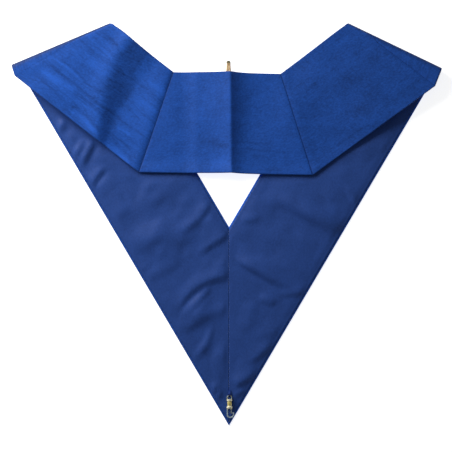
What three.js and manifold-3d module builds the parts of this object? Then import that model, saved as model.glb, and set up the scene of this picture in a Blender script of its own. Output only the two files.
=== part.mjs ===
// A lodge officer's collar of wide moire ribbon, laid out flat with its lining up.
// Two front limbs meet in a point, fold over at the shoulders, and carry the mitred
// band of the back, which lies across them. A swivel hook for a jewel hangs at the point.
//
// Millimetres, +Z up. X runs to the right and Y from the point towards the neck.
// Each side is worked out with X counted outwards and then mirrored where needed.

import * as THREE from "three";
import { mergeVertices } from "three/addons/utils/BufferGeometryUtils.js";
import Module from "manifold-3d";

const wasm = await Module();
wasm.setup();

const RIGHT = 1;
const LEFT = -1;
const degrees = THREE.MathUtils.degToRad;
const { lerp, smoothstep } = THREE.MathUtils;

// Cloth
const ribbonWidth = 101;
const ribbonWall = 1.2;
const liningWall = 1.0;
const liningInset = 1.8; // from the edge of the ribbon to the edge of the lining
const seamGap = 0.3; // between two pieces that are sewn edge to edge
const layerGap = 0.3; // between two layers of cloth

// Front limbs
const pointHalfAngle = degrees(30.5); // between a limb's edges and the centre seam
const limbInnerLength = 235.5; // from the crotch of the point to the shoulder fold

// Shoulder folds
const shoulderMitreRight = degrees(16.8);
const shoulderMitreLeft = degrees(15.2);
const foldSkewRight = degrees(4.6); // turn of the fold from square across the limb
const foldSkewLeft = degrees(7.3);
const foldHeightInner = 9; // outside height of the fold at the neck end
const foldHeightOuter = 14;
const foldFlareRight = 1.3; // how far the fold's outer end stands out past the limb's edge
const foldFlareLeft = 3.2;
const seamPastFold = 1.5; // shoulder seam beyond the crease at its neck end
const edgeBowRight = 0.8; // bulge of a shoulder panel's inner edge beside the fold
const edgeBowLeft = 2.2;
const edgeBowShare = 0.17; // place of that bulge along the panel

// Neck panel
const neckTopWidth = 107.5;
const neckTopReach = 353.2; // from the point to the middle of the top edge
const neckShift = -2.05;
const neckTilt = degrees(-0.9);
const neckSag = 1.9; // how far the panel droops between the limbs
const neckSagReach = 45; // distance from a limb over which it droops

// Centre crease of the neck panel
const creaseHeightTop = 10;
const creaseHeightFoot = 8;
const creaseShare = 0.53; // place of the crease across the panel
const creaseFallLeft = 24; // distance in which its height falls to about a third
const creaseFallRight = 11;
const creaseRound = 1.2;
const creasePull = 1.1; // how far the crease is drawn towards the top edge

// Loose lining
const liningPuff = 0.7; // how far the lining stands off the ribbon away from its edges
const wrinkleHeight = 3.2;
const wrinkleFadeEdge = 9;
const wrinkleFadeBand = 16;
const wrinkleFadeHook = 6;
const hookRoom = 1.5; // flat lining beside the hook

// Hanging loop
const loopCordRadius = 0.85;
const loopReach = 11.6; // how far it stands out past the top edge
const loopTuck = 8; // how far it runs in behind the panel
const loopHalfWidthBase = 1.6; // from the middle of the loop to the middle of a strand
const loopHalfWidthTop = 1.1;
const loopShift = -0.2;

// Swivel hook
const hookToPoint = 8.1; // from the point of the collar to the foot of the hook
const hookShift = 0.4; // from the centre seam
const eyeHeight = 3.6;
const eyeHalfWidth = 2.65;
const eyeWireRadius = 0.55;
const eyeCornerRadius = 1;
const eyeCollarLength = 1.8;
const eyeCollarRadius = 2.65;
const stemRadius = 0.7;
const stemHeadRadius = 1.3;
const stemHeadLength = 1;
const swivelGap = 0.2;
const barrelLength = 4.5;
const barrelRadius = 2.15;
const barrelRoof = 1.2; // metal over the stem's head
const collarLength = 2.5;
const collarRadius = 2.8;
const jawLength = 9.8;
const jawWireRadius = 0.65;
const jawBackSet = 1.85; // from the swivel axis to the middle of the straight back
const jawBulge = 4.15; // from the swivel axis to the middle of the bowl's far side
const jawNose = 3.3; // from the swivel axis to the middle of the wire at the nose
const jawNoseShare = 0.55; // height of the nose between the bowl and the collar

// Gate of the hook
const pivotOffset = 1.7;
const pivotDrop = 1.05;
const pinRadius = 0.3;
const pinGap = 0.15;
const knuckleRadius = 0.8;
const knuckleHeight = 1.0;
const earWall = 0.5;
const earRadius = 0.9;
const gateWidth = 1.0;
const gateLap = 0.9; // how far the gate reaches past the nose
const gateGap = 0.2; // between the closed gate and the nose

// Sewn tab that holds the hook
const tabWidth = 2;
const tabWall = 0.6;
const tabGap = 0.25;
const tabFootLength = 7;
const tabFootHeight = 1.2;

// Slope of each shoulder panel, from the raised fold down to the limbs. Centre and half
// width are shares of the panel's length, at its inner and its outer edge.
const panelSlopes = {
  [LEFT]: { centreInner: 0.58, centreOuter: 0.69, halfInner: 0.32, halfOuter: 0.1 },
  [RIGHT]: { centreInner: 0.5, centreOuter: 0.5, halfInner: 0.4, halfOuter: 0.42 },
};

// Main folds of the loose lining. Along is a share of the limb from the centre seam to the
// fold, across a share of its width from the inner edge. Turn is from across the limb, in
// degrees. Bend, length and width are shares of the ribbon's width, height of wrinkleHeight.
const wrinkles = {
  [LEFT]: [
    { along: 0.21, across: 0.18, turn: -17, bend: 0.03, length: 0.42, width: 0.07, height: 0.8 },
    { along: 0.37, across: 0.62, turn: -6, bend: 0.03, length: 0.5, width: 0.11, height: 0.4 },
    { along: 0.12, across: 0.23, turn: -4, bend: 0.02, length: 0.38, width: 0.07, height: 0.7 },
    { along: 0.18, across: 0.56, turn: -2, bend: -0.06, length: 0.56, width: 0.07, height: 0.9 },
    { along: 0.12, across: 0.78, turn: -38, bend: 0.02, length: 0.34, width: 0.07, height: 0.5 },
    { along: 0.2, across: 0.9, turn: -30, bend: 0, length: 0.26, width: 0.07, height: 0.4 },
    { along: 0.72, across: 0.83, turn: -33, bend: 0, length: 0.28, width: 0.07, height: 0.8 },
    { along: 0.81, across: 0.91, turn: -31, bend: 0, length: 0.22, width: 0.07, height: 0.5 },
  ],
  [RIGHT]: [
    { along: 0.47, across: 0.63, turn: 4, bend: 0, length: 0.62, width: 0.1, height: 0.9 },
    { along: 0.21, across: 0.52, turn: 2, bend: -0.02, length: 0.6, width: 0.07, height: 1 },
    { along: 0.22, across: 0.71, turn: -6, bend: 0, length: 0.26, width: 0.07, height: 0.5 },
    { along: 0.16, across: 0.9, turn: 62, bend: 0, length: 0.3, width: 0.07, height: 0.7 },
    { along: 0.08, across: 0.88, turn: 48, bend: 0, length: 0.26, width: 0.07, height: 1 },
    { along: 0.09, across: 0.61, turn: -60, bend: 0, length: 0.32, width: 0.08, height: 0.4 },
  ],
};

// Grid of each cloth piece
const limbSteps = 38;
const acrossSteps = 13;
const ribbonAcrossSteps = 8;
const bendSteps = 5;
const overSteps = 5;
const panelSteps = 14;
const panelAcrossSteps = 9;
const panelCrowding = 1.6; // crowds a panel's steps towards the fold
const neckSteps = 22;
const neckAcrossSteps = 6;
const neckCrowding = 1.5; // crowds the steps towards the centre crease
const roundSides = 20;
const wireSides = 8;

// Heights of the layers' middles above the surface that the collar lies on
const ribbonMiddle = ribbonWall / 2;
const liningStep = ribbonWall / 2 + layerGap + liningWall / 2;
const liningTop = ribbonWall + layerGap + liningWall;
const bandMiddle = liningTop + layerGap + ribbonWall / 2;

const colours = { moire: 0x2a50a5, lining: 0x2a4286, gilt: 0xd9c27e, cord: 0xd8b98a, tab: 0x1a2c66 };

function heading(angle) {
  return new THREE.Vector2(Math.cos(angle), Math.sin(angle));
}

function between(a, b, share) {
  return a.clone().lerp(b, share);
}

// The plan of one side: corners, fold axis and seams, with X counted outwards
function sidePlan(side) {
  const skew = side === LEFT ? foldSkewLeft : foldSkewRight;
  const flare = side === LEFT ? foldFlareLeft : foldFlareRight;
  const mitre = side === LEFT ? shoulderMitreLeft : shoulderMitreRight;
  const up = heading(Math.PI / 2 - pointHalfAngle);
  const crotch = new THREE.Vector2(0, ribbonWidth / Math.sin(pointHalfAngle));
  const innerCorner = crotch.clone().addScaledVector(up, limbInnerLength);
  const axis = heading(-pointHalfAngle + skew);
  const beyond = new THREE.Vector2(-axis.y, axis.x);
  const foldLength = ribbonWidth / Math.cos(skew) + flare;
  const seamLength = ribbonWidth / Math.cos(mitre) + flare;
  const seamOuter = heading(mitre - skew).multiplyScalar(seamLength);
  const plan = { side, skew, flare, crotch, innerCorner, axis, beyond, foldLength, seamOuter };
  return { ...plan, ...neckSeam(plan) };
}

// The two ends of the seam between a shoulder panel and the neck panel
function neckSeam({ side, innerCorner }) {
  const middle = new THREE.Vector2(neckShift, neckTopReach);
  const halfTop = heading(neckTilt).multiplyScalar((side * neckTopWidth) / 2);
  const top = middle.add(halfTop);
  top.x *= side;
  const rise = Math.atan2(innerCorner.y - top.y, innerCorner.x - top.x);
  const tilt = side * neckTilt;
  const mitre = (rise - tilt) / 2;
  const down = heading(-Math.PI / 2 + tilt + mitre);
  const foot = top.clone().addScaledVector(down, ribbonWidth / Math.cos(mitre));
  return { neckTop: top, neckFoot: foot };
}

const plans = { [LEFT]: sidePlan(LEFT), [RIGHT]: sidePlan(RIGHT) };

// Radius of the middle of the ribbon in a fold, which opens out towards the outer edge
function foldRadius(plan, a) {
  const share = THREE.MathUtils.clamp(a / plan.foldLength, 0, 1);
  return (lerp(foldHeightInner, foldHeightOuter, share) - ribbonWall) / 2;
}

// A point of folded cloth: a along the fold, q over the cloth past the crease (less than
// zero below it), and inset the distance inside the ribbon's middle
function foldPoint(plan, a, q, inset = 0) {
  const radius = foldRadius(plan, a);
  const quarter = (radius * Math.PI) / 2;
  const angle = THREE.MathUtils.clamp(q, -quarter, quarter) / radius;
  const reach = radius - (radius - inset) * Math.cos(angle) + Math.max(0, Math.abs(q) - quarter);
  const flat = plan.innerCorner.clone().addScaledVector(plan.axis, a).addScaledVector(plan.beyond, -reach);
  return new THREE.Vector3(flat.x, flat.y, ribbonMiddle + radius + (radius - inset) * Math.sin(angle));
}

// The same, found from the plan of a point on the upper layer well past the bend
function flatOfUpper(plan, point) {
  const offset = point.clone().sub(plan.innerCorner);
  const a = offset.dot(plan.axis);
  const reach = -offset.dot(plan.beyond);
  return new THREE.Vector2(a, reach + (Math.PI / 2 - 1) * foldRadius(plan, a));
}

// Height of the middle of the band where it rests on the limbs or sags between them
function bandRest(x, y) {
  const crotchReach = ribbonWidth / Math.sin(pointHalfAngle);
  const clear = (y - crotchReach) * Math.sin(pointHalfAngle) - Math.abs(x) * Math.cos(pointHalfAngle);
  return bandMiddle - neckSag * smoothstep(clear, 0, neckSagReach);
}

// How far a point lies outside the band's lower edge, in plan
function outsideBand(plan, x, y) {
  const foot = new THREE.Vector2(plan.neckFoot.x, plan.neckFoot.y);
  const seamEnd = foldPoint(plan, plan.seamOuter.x, plan.seamOuter.y);
  const run = new THREE.Vector2(seamEnd.x, seamEnd.y).sub(foot).normalize();
  const belowShoulder = run.y * (x - foot.x) - run.x * (y - foot.y);
  return Math.max(foot.y - y, belowShoulder);
}

// Height of the loose lining above its flat layer
function wrinkleAt(plan, x, y, edgeDistance) {
  const up = heading(Math.PI / 2 - pointHalfAngle);
  let height = liningPuff;
  for (const fold of wrinkles[plan.side]) {
    const inner = plan.crotch.clone().addScaledVector(up, limbInnerLength * fold.along);
    const outer = up.clone().multiplyScalar(outerLength(plan) * fold.along);
    const centre = between(inner, outer, fold.across);
    const run = heading(-pointHalfAngle + degrees(fold.turn));
    const dx = x - centre.x;
    const dy = y - centre.y;
    const lengthwise = (dx * run.x + dy * run.y) / (fold.length * ribbonWidth * 0.5);
    const bow = fold.bend * ribbonWidth * lengthwise ** 2;
    const sideways = (dy * run.x - dx * run.y - bow) / (fold.width * ribbonWidth);
    const bulge = Math.exp(-(lengthwise ** 4) - sideways ** 2);
    height += fold.height * wrinkleHeight * bulge;
  }
  const hookDistance = Math.hypot(x, Math.max(0, y - hookTop() - tabFootLength)) - collarRadius - hookRoom;
  const open = smoothstep(outsideBand(plan, x, y), 1, wrinkleFadeBand);
  const clearOfHook = smoothstep(hookDistance, 0, wrinkleFadeHook);
  return height * open * clearOfHook * smoothstep(edgeDistance, 0, wrinkleFadeEdge);
}

function outerLength(plan) {
  const foot = ribbonWidth / Math.tan(pointHalfAngle);
  return foot + limbInnerLength + ribbonWidth * Math.tan(plan.skew);
}

// A closed sheet of even wall from a grid of points on its middle surface
function sheet(grid, wall) {
  const rows = grid.length;
  const columns = grid[0].length;
  const positions = [];
  const index = [];
  const at = (i, j) => grid[Math.min(rows - 1, Math.max(0, i))][Math.min(columns - 1, Math.max(0, j))];
  for (const offset of [wall / 2, -wall / 2]) {
    for (let i = 0; i < rows; i += 1) {
      for (let j = 0; j < columns; j += 1) {
        const alongRows = at(i + 1, j).clone().sub(at(i - 1, j));
        const alongColumns = at(i, j + 1).clone().sub(at(i, j - 1));
        const normal = alongColumns.cross(alongRows).normalize();
        positions.push(...grid[i][j].clone().addScaledVector(normal, offset).toArray());
      }
    }
  }
  const face = (a, b, c, d) => index.push(a, b, c, a, c, d);
  const front = (i, j) => i * columns + j;
  const back = (i, j) => rows * columns + front(i, j);
  for (let i = 0; i + 1 < rows; i += 1) {
    for (let j = 0; j + 1 < columns; j += 1) {
      face(front(i, j), front(i, j + 1), front(i + 1, j + 1), front(i + 1, j));
      face(back(i, j), back(i + 1, j), back(i + 1, j + 1), back(i, j + 1));
    }
    face(front(i, 0), front(i + 1, 0), back(i + 1, 0), back(i, 0));
    face(back(i, columns - 1), back(i + 1, columns - 1), front(i + 1, columns - 1), front(i, columns - 1));
  }
  for (let j = 0; j + 1 < columns; j += 1) {
    face(front(0, j + 1), front(0, j), back(0, j), back(0, j + 1));
    face(front(rows - 1, j), front(rows - 1, j + 1), back(rows - 1, j + 1), back(rows - 1, j));
  }
  const geometry = new THREE.BufferGeometry();
  geometry.setAttribute("position", new THREE.Float32BufferAttribute(positions, 3));
  geometry.setIndex(index);
  return facingOut(geometry);
}

// Turns a closed geometry's faces outwards where its volume comes out negative
function facingOut(geometry) {
  const p = geometry.getAttribute("position");
  const order = geometry.index.array;
  const [a, b, c] = [new THREE.Vector3(), new THREE.Vector3(), new THREE.Vector3()];
  let volume = 0;
  for (let i = 0; i < order.length; i += 3) {
    a.fromBufferAttribute(p, order[i]);
    b.fromBufferAttribute(p, order[i + 1]);
    c.fromBufferAttribute(p, order[i + 2]);
    volume += a.dot(b.cross(c));
  }
  if (volume < 0) {
    for (let i = 0; i < order.length; i += 3) {
      [order[i + 1], order[i + 2]] = [order[i + 2], order[i + 1]];
    }
  }
  geometry.computeVertexNormals();
  return geometry;
}

function mirrored(plan, point) {
  return new THREE.Vector3(point.x * plan.side, point.y, point.z);
}

// Rows of a limb, from the centre seam over the flat, round the fold and up to the shoulder
// seam. Inset is the distance inside the ribbon's middle, edgeInset the hem at both edges.
function limbGrid(plan, { inset, edgeInset, flatSteps, columns, wrinkled }) {
  const trim = edgeInset / Math.cos(plan.skew);
  const seamTrim = edgeInset / Math.sin(pointHalfAngle);
  const grid = [];
  const column = (j) => {
    const v = j / columns;
    const a = lerp(trim, plan.foldLength - trim, v);
    const start = new THREE.Vector2(seamGap / 2, lerp(plan.crotch.y - seamTrim, seamTrim, v));
    const flare = (plan.flare * a) / plan.foldLength;
    const aBelow = (reach, flared) => a - flare * (1 - flared) - reach * Math.tan(plan.skew);
    const seam = plan.seamOuter.clone().multiplyScalar(a / plan.foldLength);
    const seamQ = Math.max(seamPastFold, seam.y) - seamGap / 2;
    const edge = Math.min(v, 1 - v) * ribbonWidth;
    return { a, start, aBelow, seam, seamQ, edge };
  };
  const lines = Array.from({ length: columns + 1 }, (_, j) => column(j));
  const radiusAt = (line) => foldRadius(plan, line.a);
  for (let i = 0; i <= flatSteps; i += 1) {
    const share = i / flatSteps;
    grid.push(
      lines.map((line) => {
        const reach = radiusAt(line);
        const end = foldPoint(plan, line.aBelow(reach, 0), (-reach * Math.PI) / 2, inset);
        const flat = between(line.start, new THREE.Vector2(end.x, end.y), share);
        const edgeDistance = Math.min(line.edge, flat.x);
        const lift = wrinkled ? wrinkleAt(plan, flat.x, flat.y, edgeDistance) : 0;
        return new THREE.Vector3(flat.x, flat.y, ribbonMiddle + inset + lift);
      }),
    );
  }
  for (let i = 1; i <= bendSteps; i += 1) {
    const angle = (-Math.PI / 2) * (1 - i / bendSteps);
    grid.push(
      lines.map((line) => {
        const radius = radiusAt(line);
        const a = line.aBelow(radius * (1 - Math.cos(angle)), i / bendSteps);
        return foldPoint(plan, a, radius * angle, inset);
      }),
    );
  }
  for (let i = 1; i <= overSteps; i += 1) {
    const share = i / overSteps;
    grid.push(
      lines.map((line) => foldPoint(plan, lerp(line.a, line.seam.x, share), line.seamQ * share, inset)),
    );
  }
  return grid.map((row) => row.map((point) => mirrored(plan, point)));
}

function frontRibbon(plan) {
  const grid = limbGrid(plan, {
    inset: 0,
    edgeInset: 0,
    flatSteps: 2,
    columns: ribbonAcrossSteps,
    wrinkled: false,
  });
  return sheet(grid, ribbonWall);
}

function frontLining(plan) {
  const grid = limbGrid(plan, {
    inset: liningStep,
    edgeInset: liningInset,
    flatSteps: limbSteps,
    columns: acrossSteps,
    wrinkled: true,
  });
  return sheet(grid, liningWall);
}

// Shoulder panel from the shoulder seam, round the rest of the fold and down to the neck
function shoulderPanel(plan) {
  const slope = panelSlopes[plan.side];
  const bow = plan.side === LEFT ? edgeBowLeft : edgeBowRight;
  const neckInner = flatOfUpper(plan, plan.neckTop);
  const neckOuter = flatOfUpper(plan, plan.neckFoot);
  const grid = [];
  for (let i = 0; i <= panelSteps; i += 1) {
    const u = (i / panelSteps) ** panelCrowding;
    const row = [];
    for (let j = 0; j <= panelAcrossSteps; j += 1) {
      const v = j / panelAcrossSteps;
      const seam = plan.seamOuter.clone().multiplyScalar(v);
      seam.y = Math.max(seamPastFold, seam.y) + seamGap / 2;
      const neck = between(neckInner, neckOuter, v);
      const length = seam.distanceTo(neck);
      const flat = between(seam, neck, u * (1 - seamGap / 2 / length));
      flat.x -= bow * (u / edgeBowShare) * Math.exp(1 - u / edgeBowShare) * (1 - v) ** 2;
      const point = foldPoint(plan, flat.x, flat.y);
      const centre = lerp(slope.centreInner, slope.centreOuter, v);
      const half = lerp(slope.halfInner, slope.halfOuter, v);
      const rest = bandRest(point.x, point.y);
      point.z = lerp(point.z, rest, smoothstep(u, centre - half, centre + half));
      row.push(mirrored(plan, point));
    }
    grid.push(row);
  }
  return sheet(grid, ribbonWall);
}

// Rise of the neck panel's centre crease at a signed distance from it
function creaseRise(distance, v) {
  const soft = Math.hypot(distance, creaseRound) - creaseRound;
  const fall = distance < 0 ? creaseFallLeft : creaseFallRight;
  const fade = 1 - smoothstep(Math.abs(distance), neckTopWidth * 0.3, neckTopWidth * 0.47);
  return lerp(creaseHeightTop, creaseHeightFoot, v) * Math.exp(-soft / fall) * fade;
}

// A point of the neck panel: u from the left seam to the right one, v from its top edge
function neckPoint(u, v) {
  const { [LEFT]: left, [RIGHT]: right } = plans;
  const start = between(left.neckTop, left.neckFoot, v);
  const end = between(right.neckTop, right.neckFoot, v);
  start.x = -start.x + seamGap / 2;
  end.x -= seamGap / 2;
  const flat = between(start, end, u);
  const distance = (u - creaseShare) * (end.x - start.x);
  const rise = creaseRise(distance, v);
  flat.y += (creasePull * rise) / creaseHeightTop;
  return new THREE.Vector3(flat.x, flat.y, bandRest(flat.x, flat.y) + rise);
}

function neckPanel() {
  const grid = [];
  for (let i = 0; i <= neckSteps; i += 1) {
    const t = (2 * i) / neckSteps - 1;
    const reach = t < 0 ? creaseShare : 1 - creaseShare;
    const u = creaseShare + Math.sign(t) * reach * Math.abs(t) ** neckCrowding;
    const row = [];
    for (let j = 0; j <= neckAcrossSteps; j += 1) {
      row.push(neckPoint(u, j / neckAcrossSteps));
    }
    grid.push(row);
  }
  return sheet(grid, ribbonWall);
}

// A round wire along a curve, with closed ends
function wire(curve, radius, steps, sides = wireSides) {
  const section = new THREE.Shape(
    Array.from({ length: sides }, (_, i) => heading((2 * Math.PI * i) / sides).multiplyScalar(radius)),
  );
  return new THREE.ExtrudeGeometry(section, { steps, extrudePath: curve, bevelEnabled: false });
}

// Narrow hanging loop of gilt cord, sewn in behind the top edge of the neck panel
function hangingLoop() {
  const top = neckTopReach;
  const creaseShareX = (loopShift - neckShift) / neckTopWidth + 0.5;
  const height = (back) => neckPoint(creaseShareX, back / ribbonWidth).z;
  const under = ribbonWall / 2 + layerGap + loopCordRadius * 2;
  const lowEnd = loopCordRadius + layerGap;
  const edge = height(0) - under;
  const turn = loopReach - loopCordRadius - loopHalfWidthTop;
  const strand = (sign) => [
    [sign * loopHalfWidthBase, -loopTuck, height(loopTuck) - under],
    [sign * loopHalfWidthBase, -loopTuck / 2, height(loopTuck / 2) - under],
    [sign * loopHalfWidthBase, 0, edge - layerGap],
    [sign * lerp(loopHalfWidthBase, loopHalfWidthTop, 0.5), turn / 2, lerp(edge, lowEnd, 0.6)],
    [sign * loopHalfWidthTop, turn, lowEnd],
  ];
  const bow = [Math.PI * 0.75, Math.PI / 2, Math.PI / 4].map((angle) => {
    const around = heading(angle).multiplyScalar(loopHalfWidthTop);
    return [around.x, turn + around.y, lowEnd];
  });
  const points = [...strand(-1), ...bow, ...strand(1).reverse()];
  const curve = new THREE.CatmullRomCurve3(
    points.map(([x, y, z]) => new THREE.Vector3(loopShift + x, top + y, z)),
    false,
    "centripetal",
  );
  return wire(curve, loopCordRadius, 44);
}

// Where the hook's pieces lie along the collar, from the point
function hookTop() {
  return hookToPoint + jawLength + collarLength + barrelLength + swivelGap + eyeCollarLength + eyeHeight;
}

const hookAxisHeight = liningTop + layerGap + collarRadius;
const barrelTop = hookToPoint + jawLength + collarLength + barrelLength;
const collarFoot = hookToPoint + jawLength;
const bowl = hookToPoint + jawWireRadius;

function solid(geometry) {
  const bare = new THREE.BufferGeometry();
  const source = geometry.index ? geometry.toNonIndexed() : geometry;
  bare.setAttribute("position", source.getAttribute("position"));
  const merged = mergeVertices(bare, 1e-4);
  return new wasm.Manifold(
    new wasm.Mesh({
      numProp: 3,
      vertProperties: merged.getAttribute("position").array,
      triVerts: new Uint32Array(merged.index.array),
    }),
  );
}

function geometryOf(manifold) {
  const { vertProperties, triVerts } = manifold.getMesh();
  const geometry = new THREE.BufferGeometry();
  geometry.setAttribute("position", new THREE.BufferAttribute(vertProperties, 3));
  geometry.setIndex(new THREE.BufferAttribute(triVerts, 1));
  geometry.computeVertexNormals();
  return geometry;
}

// A turned solid about the swivel axis, from pairs of radius and height
function turned(pairs) {
  const profile = pairs.map(([radius, y]) => new THREE.Vector2(radius, y));
  return solid(new THREE.LatheGeometry(profile, roundSides));
}

// A round disc or pin standing across the hook, along Z
function disc(radius, height, x, y) {
  const shape = new THREE.CylinderGeometry(radius, radius, height, roundSides);
  return solid(shape.rotateX(Math.PI / 2).translate(x, y, 0));
}

function block(width, length, height, x, y) {
  return solid(new THREE.BoxGeometry(width, length, height).translate(x, y, 0));
}

// A smooth curve through points in the plane of the hook
function planeCurve(points) {
  return new THREE.CatmullRomCurve3(points.map(([x, y]) => new THREE.Vector3(x, y, 0)), false, "centripetal");
}

// Stirrup eye with its collar and the headed stem that turns in the barrel
function hookEye() {
  const foot = barrelTop + swivelGap;
  const collarTop = foot + eyeCollarLength;
  const side = eyeHalfWidth - eyeWireRadius;
  const bar = collarTop + eyeHeight - eyeWireRadius;
  const corner = (sign, angle) => [
    sign * (side - eyeCornerRadius * (1 - Math.cos(angle))),
    bar - eyeCornerRadius * (1 - Math.sin(angle)),
  ];
  const rise = (sign) => [
    [sign * side, collarTop - eyeWireRadius],
    [sign * side, lerp(collarTop, bar, 0.35)],
    corner(sign, 0),
    corner(sign, Math.PI / 4),
    corner(sign, Math.PI / 2),
  ];
  const stirrup = solid(wire(planeCurve([...rise(-1), ...rise(1).reverse()]), eyeWireRadius, 30));
  const headTop = barrelTop - barrelRoof - swivelGap;
  const rim = 0.3;
  const core = turned([
    [0, headTop - stemHeadLength],
    [stemHeadRadius, headTop - stemHeadLength],
    [stemHeadRadius, headTop],
    [stemRadius, headTop],
    [stemRadius, foot],
    [eyeCollarRadius - rim, foot],
    [eyeCollarRadius, foot + rim],
    [eyeCollarRadius, collarTop - rim],
    [eyeCollarRadius - rim, collarTop],
    [0, collarTop],
  ]);
  return geometryOf(core.add(stirrup));
}

// Barrel, collar and jaw of the hook, with the ears and pin that carry the gate
function hookBody() {
  const waist = barrelRadius - 0.25;
  const shell = turned([
    [0, collarFoot],
    [collarRadius - 0.5, collarFoot],
    [collarRadius, collarFoot + 0.5],
    [collarRadius, collarFoot + collarLength - 0.7],
    [waist, collarFoot + collarLength],
    [barrelRadius, lerp(collarFoot + collarLength, barrelTop, 0.45)],
    [barrelRadius, lerp(collarFoot + collarLength, barrelTop, 0.7)],
    [waist, barrelTop],
    [0, barrelTop],
  ]);
  const pocketTop = barrelTop - barrelRoof;
  const pocketFoot = pocketTop - stemHeadLength - swivelGap * 2;
  const bore = turned([
    [0, pocketFoot],
    [stemHeadRadius + swivelGap, pocketFoot],
    [stemHeadRadius + swivelGap, pocketTop],
    [stemRadius + swivelGap, pocketTop],
    [stemRadius + swivelGap, barrelTop + swivelGap],
    [0, barrelTop + swivelGap],
  ]);
  const jaw = planeCurve([
    [-jawBackSet, collarFoot + collarLength * 0.3],
    [-jawBackSet, collarFoot - jawLength * 0.3],
    [-jawBackSet, lerp(bowl, collarFoot, 0.28)],
    [lerp(-jawBackSet, jawBulge, 0.12), lerp(bowl, collarFoot, 0.07)],
    [lerp(-jawBackSet, jawBulge, 0.42), bowl],
    [lerp(-jawBackSet, jawBulge, 0.8), lerp(bowl, collarFoot, 0.07)],
    [jawBulge, lerp(bowl, collarFoot, 0.3)],
    [lerp(jawNose, jawBulge, 0.6), lerp(bowl, collarFoot, jawNoseShare - 0.09)],
    [jawNose, lerp(bowl, collarFoot, jawNoseShare)],
  ]);
  const pivotY = collarFoot - pivotDrop;
  const earHeight = knuckleHeight + 2 * (pinGap + earWall);
  const ears = disc(earRadius, earHeight, pivotOffset, pivotY).add(
    block(earRadius * 2, pivotDrop * 2, earHeight, pivotOffset, collarFoot),
  );
  const slotHeight = knuckleHeight + 2 * pinGap;
  const slotReach = knuckleRadius + pinGap;
  const slot = disc(slotReach, slotHeight, pivotOffset, pivotY).add(
    block(slotReach * 4, slotReach * 2, slotHeight, pivotOffset, pivotY - slotReach),
  );
  const pin = disc(pinRadius, earHeight, pivotOffset, pivotY);
  const body = shell
    .subtract(bore)
    .add(solid(wire(jaw, jawWireRadius, 40)))
    .add(ears)
    .subtract(slot)
    .add(pin);
  return geometryOf(body);
}

// Sprung gate that closes the hook, turning on the pin between the ears
function hookGate() {
  const pivotY = collarFoot - pivotDrop;
  const tipX = jawNose - jawWireRadius - gateGap - gateWidth / 2;
  const tipY = lerp(bowl, collarFoot, jawNoseShare) - gateLap;
  const length = Math.hypot(tipX - pivotOffset, pivotY - tipY);
  const lean = Math.atan2(tipX - pivotOffset, pivotY - tipY);
  const bar = new THREE.BoxGeometry(gateWidth, length, knuckleHeight);
  bar.rotateZ(lean).translate((pivotOffset + tipX) / 2, (pivotY + tipY) / 2, 0);
  const gate = disc(knuckleRadius, knuckleHeight, pivotOffset, pivotY)
    .add(solid(bar))
    .add(disc(gateWidth / 2, knuckleHeight, tipX, tipY))
    .subtract(disc(pinRadius + pinGap, knuckleHeight * 2, pivotOffset, pivotY));
  return geometryOf(gate);
}

// Cloth tab round the bar of the eye, with both ends sewn down on the lining
function hookTab() {
  const barY = hookTop() - eyeWireRadius;
  const hole = eyeWireRadius + tabGap;
  const outer = hole + tabWall;
  const drop = hookAxisHeight - liningTop - layerGap;
  const shape = new THREE.Shape();
  shape.moveTo(0, outer);
  shape.absarc(0, 0, outer, Math.PI / 2, (Math.PI * 3) / 2, false);
  shape.lineTo(tabFootLength * 0.4, -drop);
  shape.lineTo(tabFootLength, -drop);
  shape.lineTo(tabFootLength, tabFootHeight - drop);
  shape.lineTo(tabFootLength * 0.5, tabFootHeight * 1.3 - drop);
  shape.closePath();
  shape.holes.push(new THREE.Path().absarc(0, 0, hole, 0, Math.PI * 2, true));
  const strap = new THREE.ExtrudeGeometry(shape, { depth: tabWidth, bevelEnabled: false, curveSegments: 8 });
  // The outline's first axis becomes Y and its second Z, and the depth runs along X
  const turn = new THREE.Matrix4().makeBasis(
    new THREE.Vector3(0, 1, 0),
    new THREE.Vector3(0, 0, 1),
    new THREE.Vector3(1, 0, 0),
  );
  return strap.applyMatrix4(turn).translate(hookShift - tabWidth / 2, barY, hookAxisHeight);
}

function cloth(colour) {
  return new THREE.MeshStandardMaterial({ color: colour, roughness: 0.6, metalness: 0 });
}

function metal(colour) {
  return new THREE.MeshStandardMaterial({ color: colour, roughness: 0.25, metalness: 1 });
}

function mesh(name, geometry, material) {
  const made = new THREE.Mesh(geometry, material);
  made.name = name;
  return made;
}

const collar = new THREE.Group();
const moire = cloth(colours.moire);
const satin = cloth(colours.lining);
const gilt = metal(colours.gilt);

collar.add(mesh("neck_panel", neckPanel(), moire));
for (const [name, side] of [["left", LEFT], ["right", RIGHT]]) {
  collar.add(mesh(`${name}_shoulder_panel`, shoulderPanel(plans[side]), moire));
  collar.add(mesh(`${name}_front_ribbon`, frontRibbon(plans[side]), moire));
  collar.add(mesh(`${name}_front_lining`, frontLining(plans[side]), satin));
}
collar.add(mesh("hanging_loop", hangingLoop(), cloth(colours.cord)));
collar.add(mesh("hook_tab", hookTab(), cloth(colours.tab)));

const hook = new THREE.Group();
hook.position.set(hookShift, 0, hookAxisHeight);
hook.add(mesh("hook_eye", hookEye(), gilt));
hook.add(mesh("hook_body", hookBody(), gilt));
hook.add(mesh("hook_gate", hookGate(), gilt));
collar.add(hook);

// The origin is the middle of the collar's plan, on the surface that it lies on
collar.updateMatrixWorld(true);
const extent = new THREE.Box3().setFromObject(collar, true);
const middle = extent.getCenter(new THREE.Vector3());
collar.position.set(-middle.x, -middle.y, -extent.min.z);

export default collar;
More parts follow.
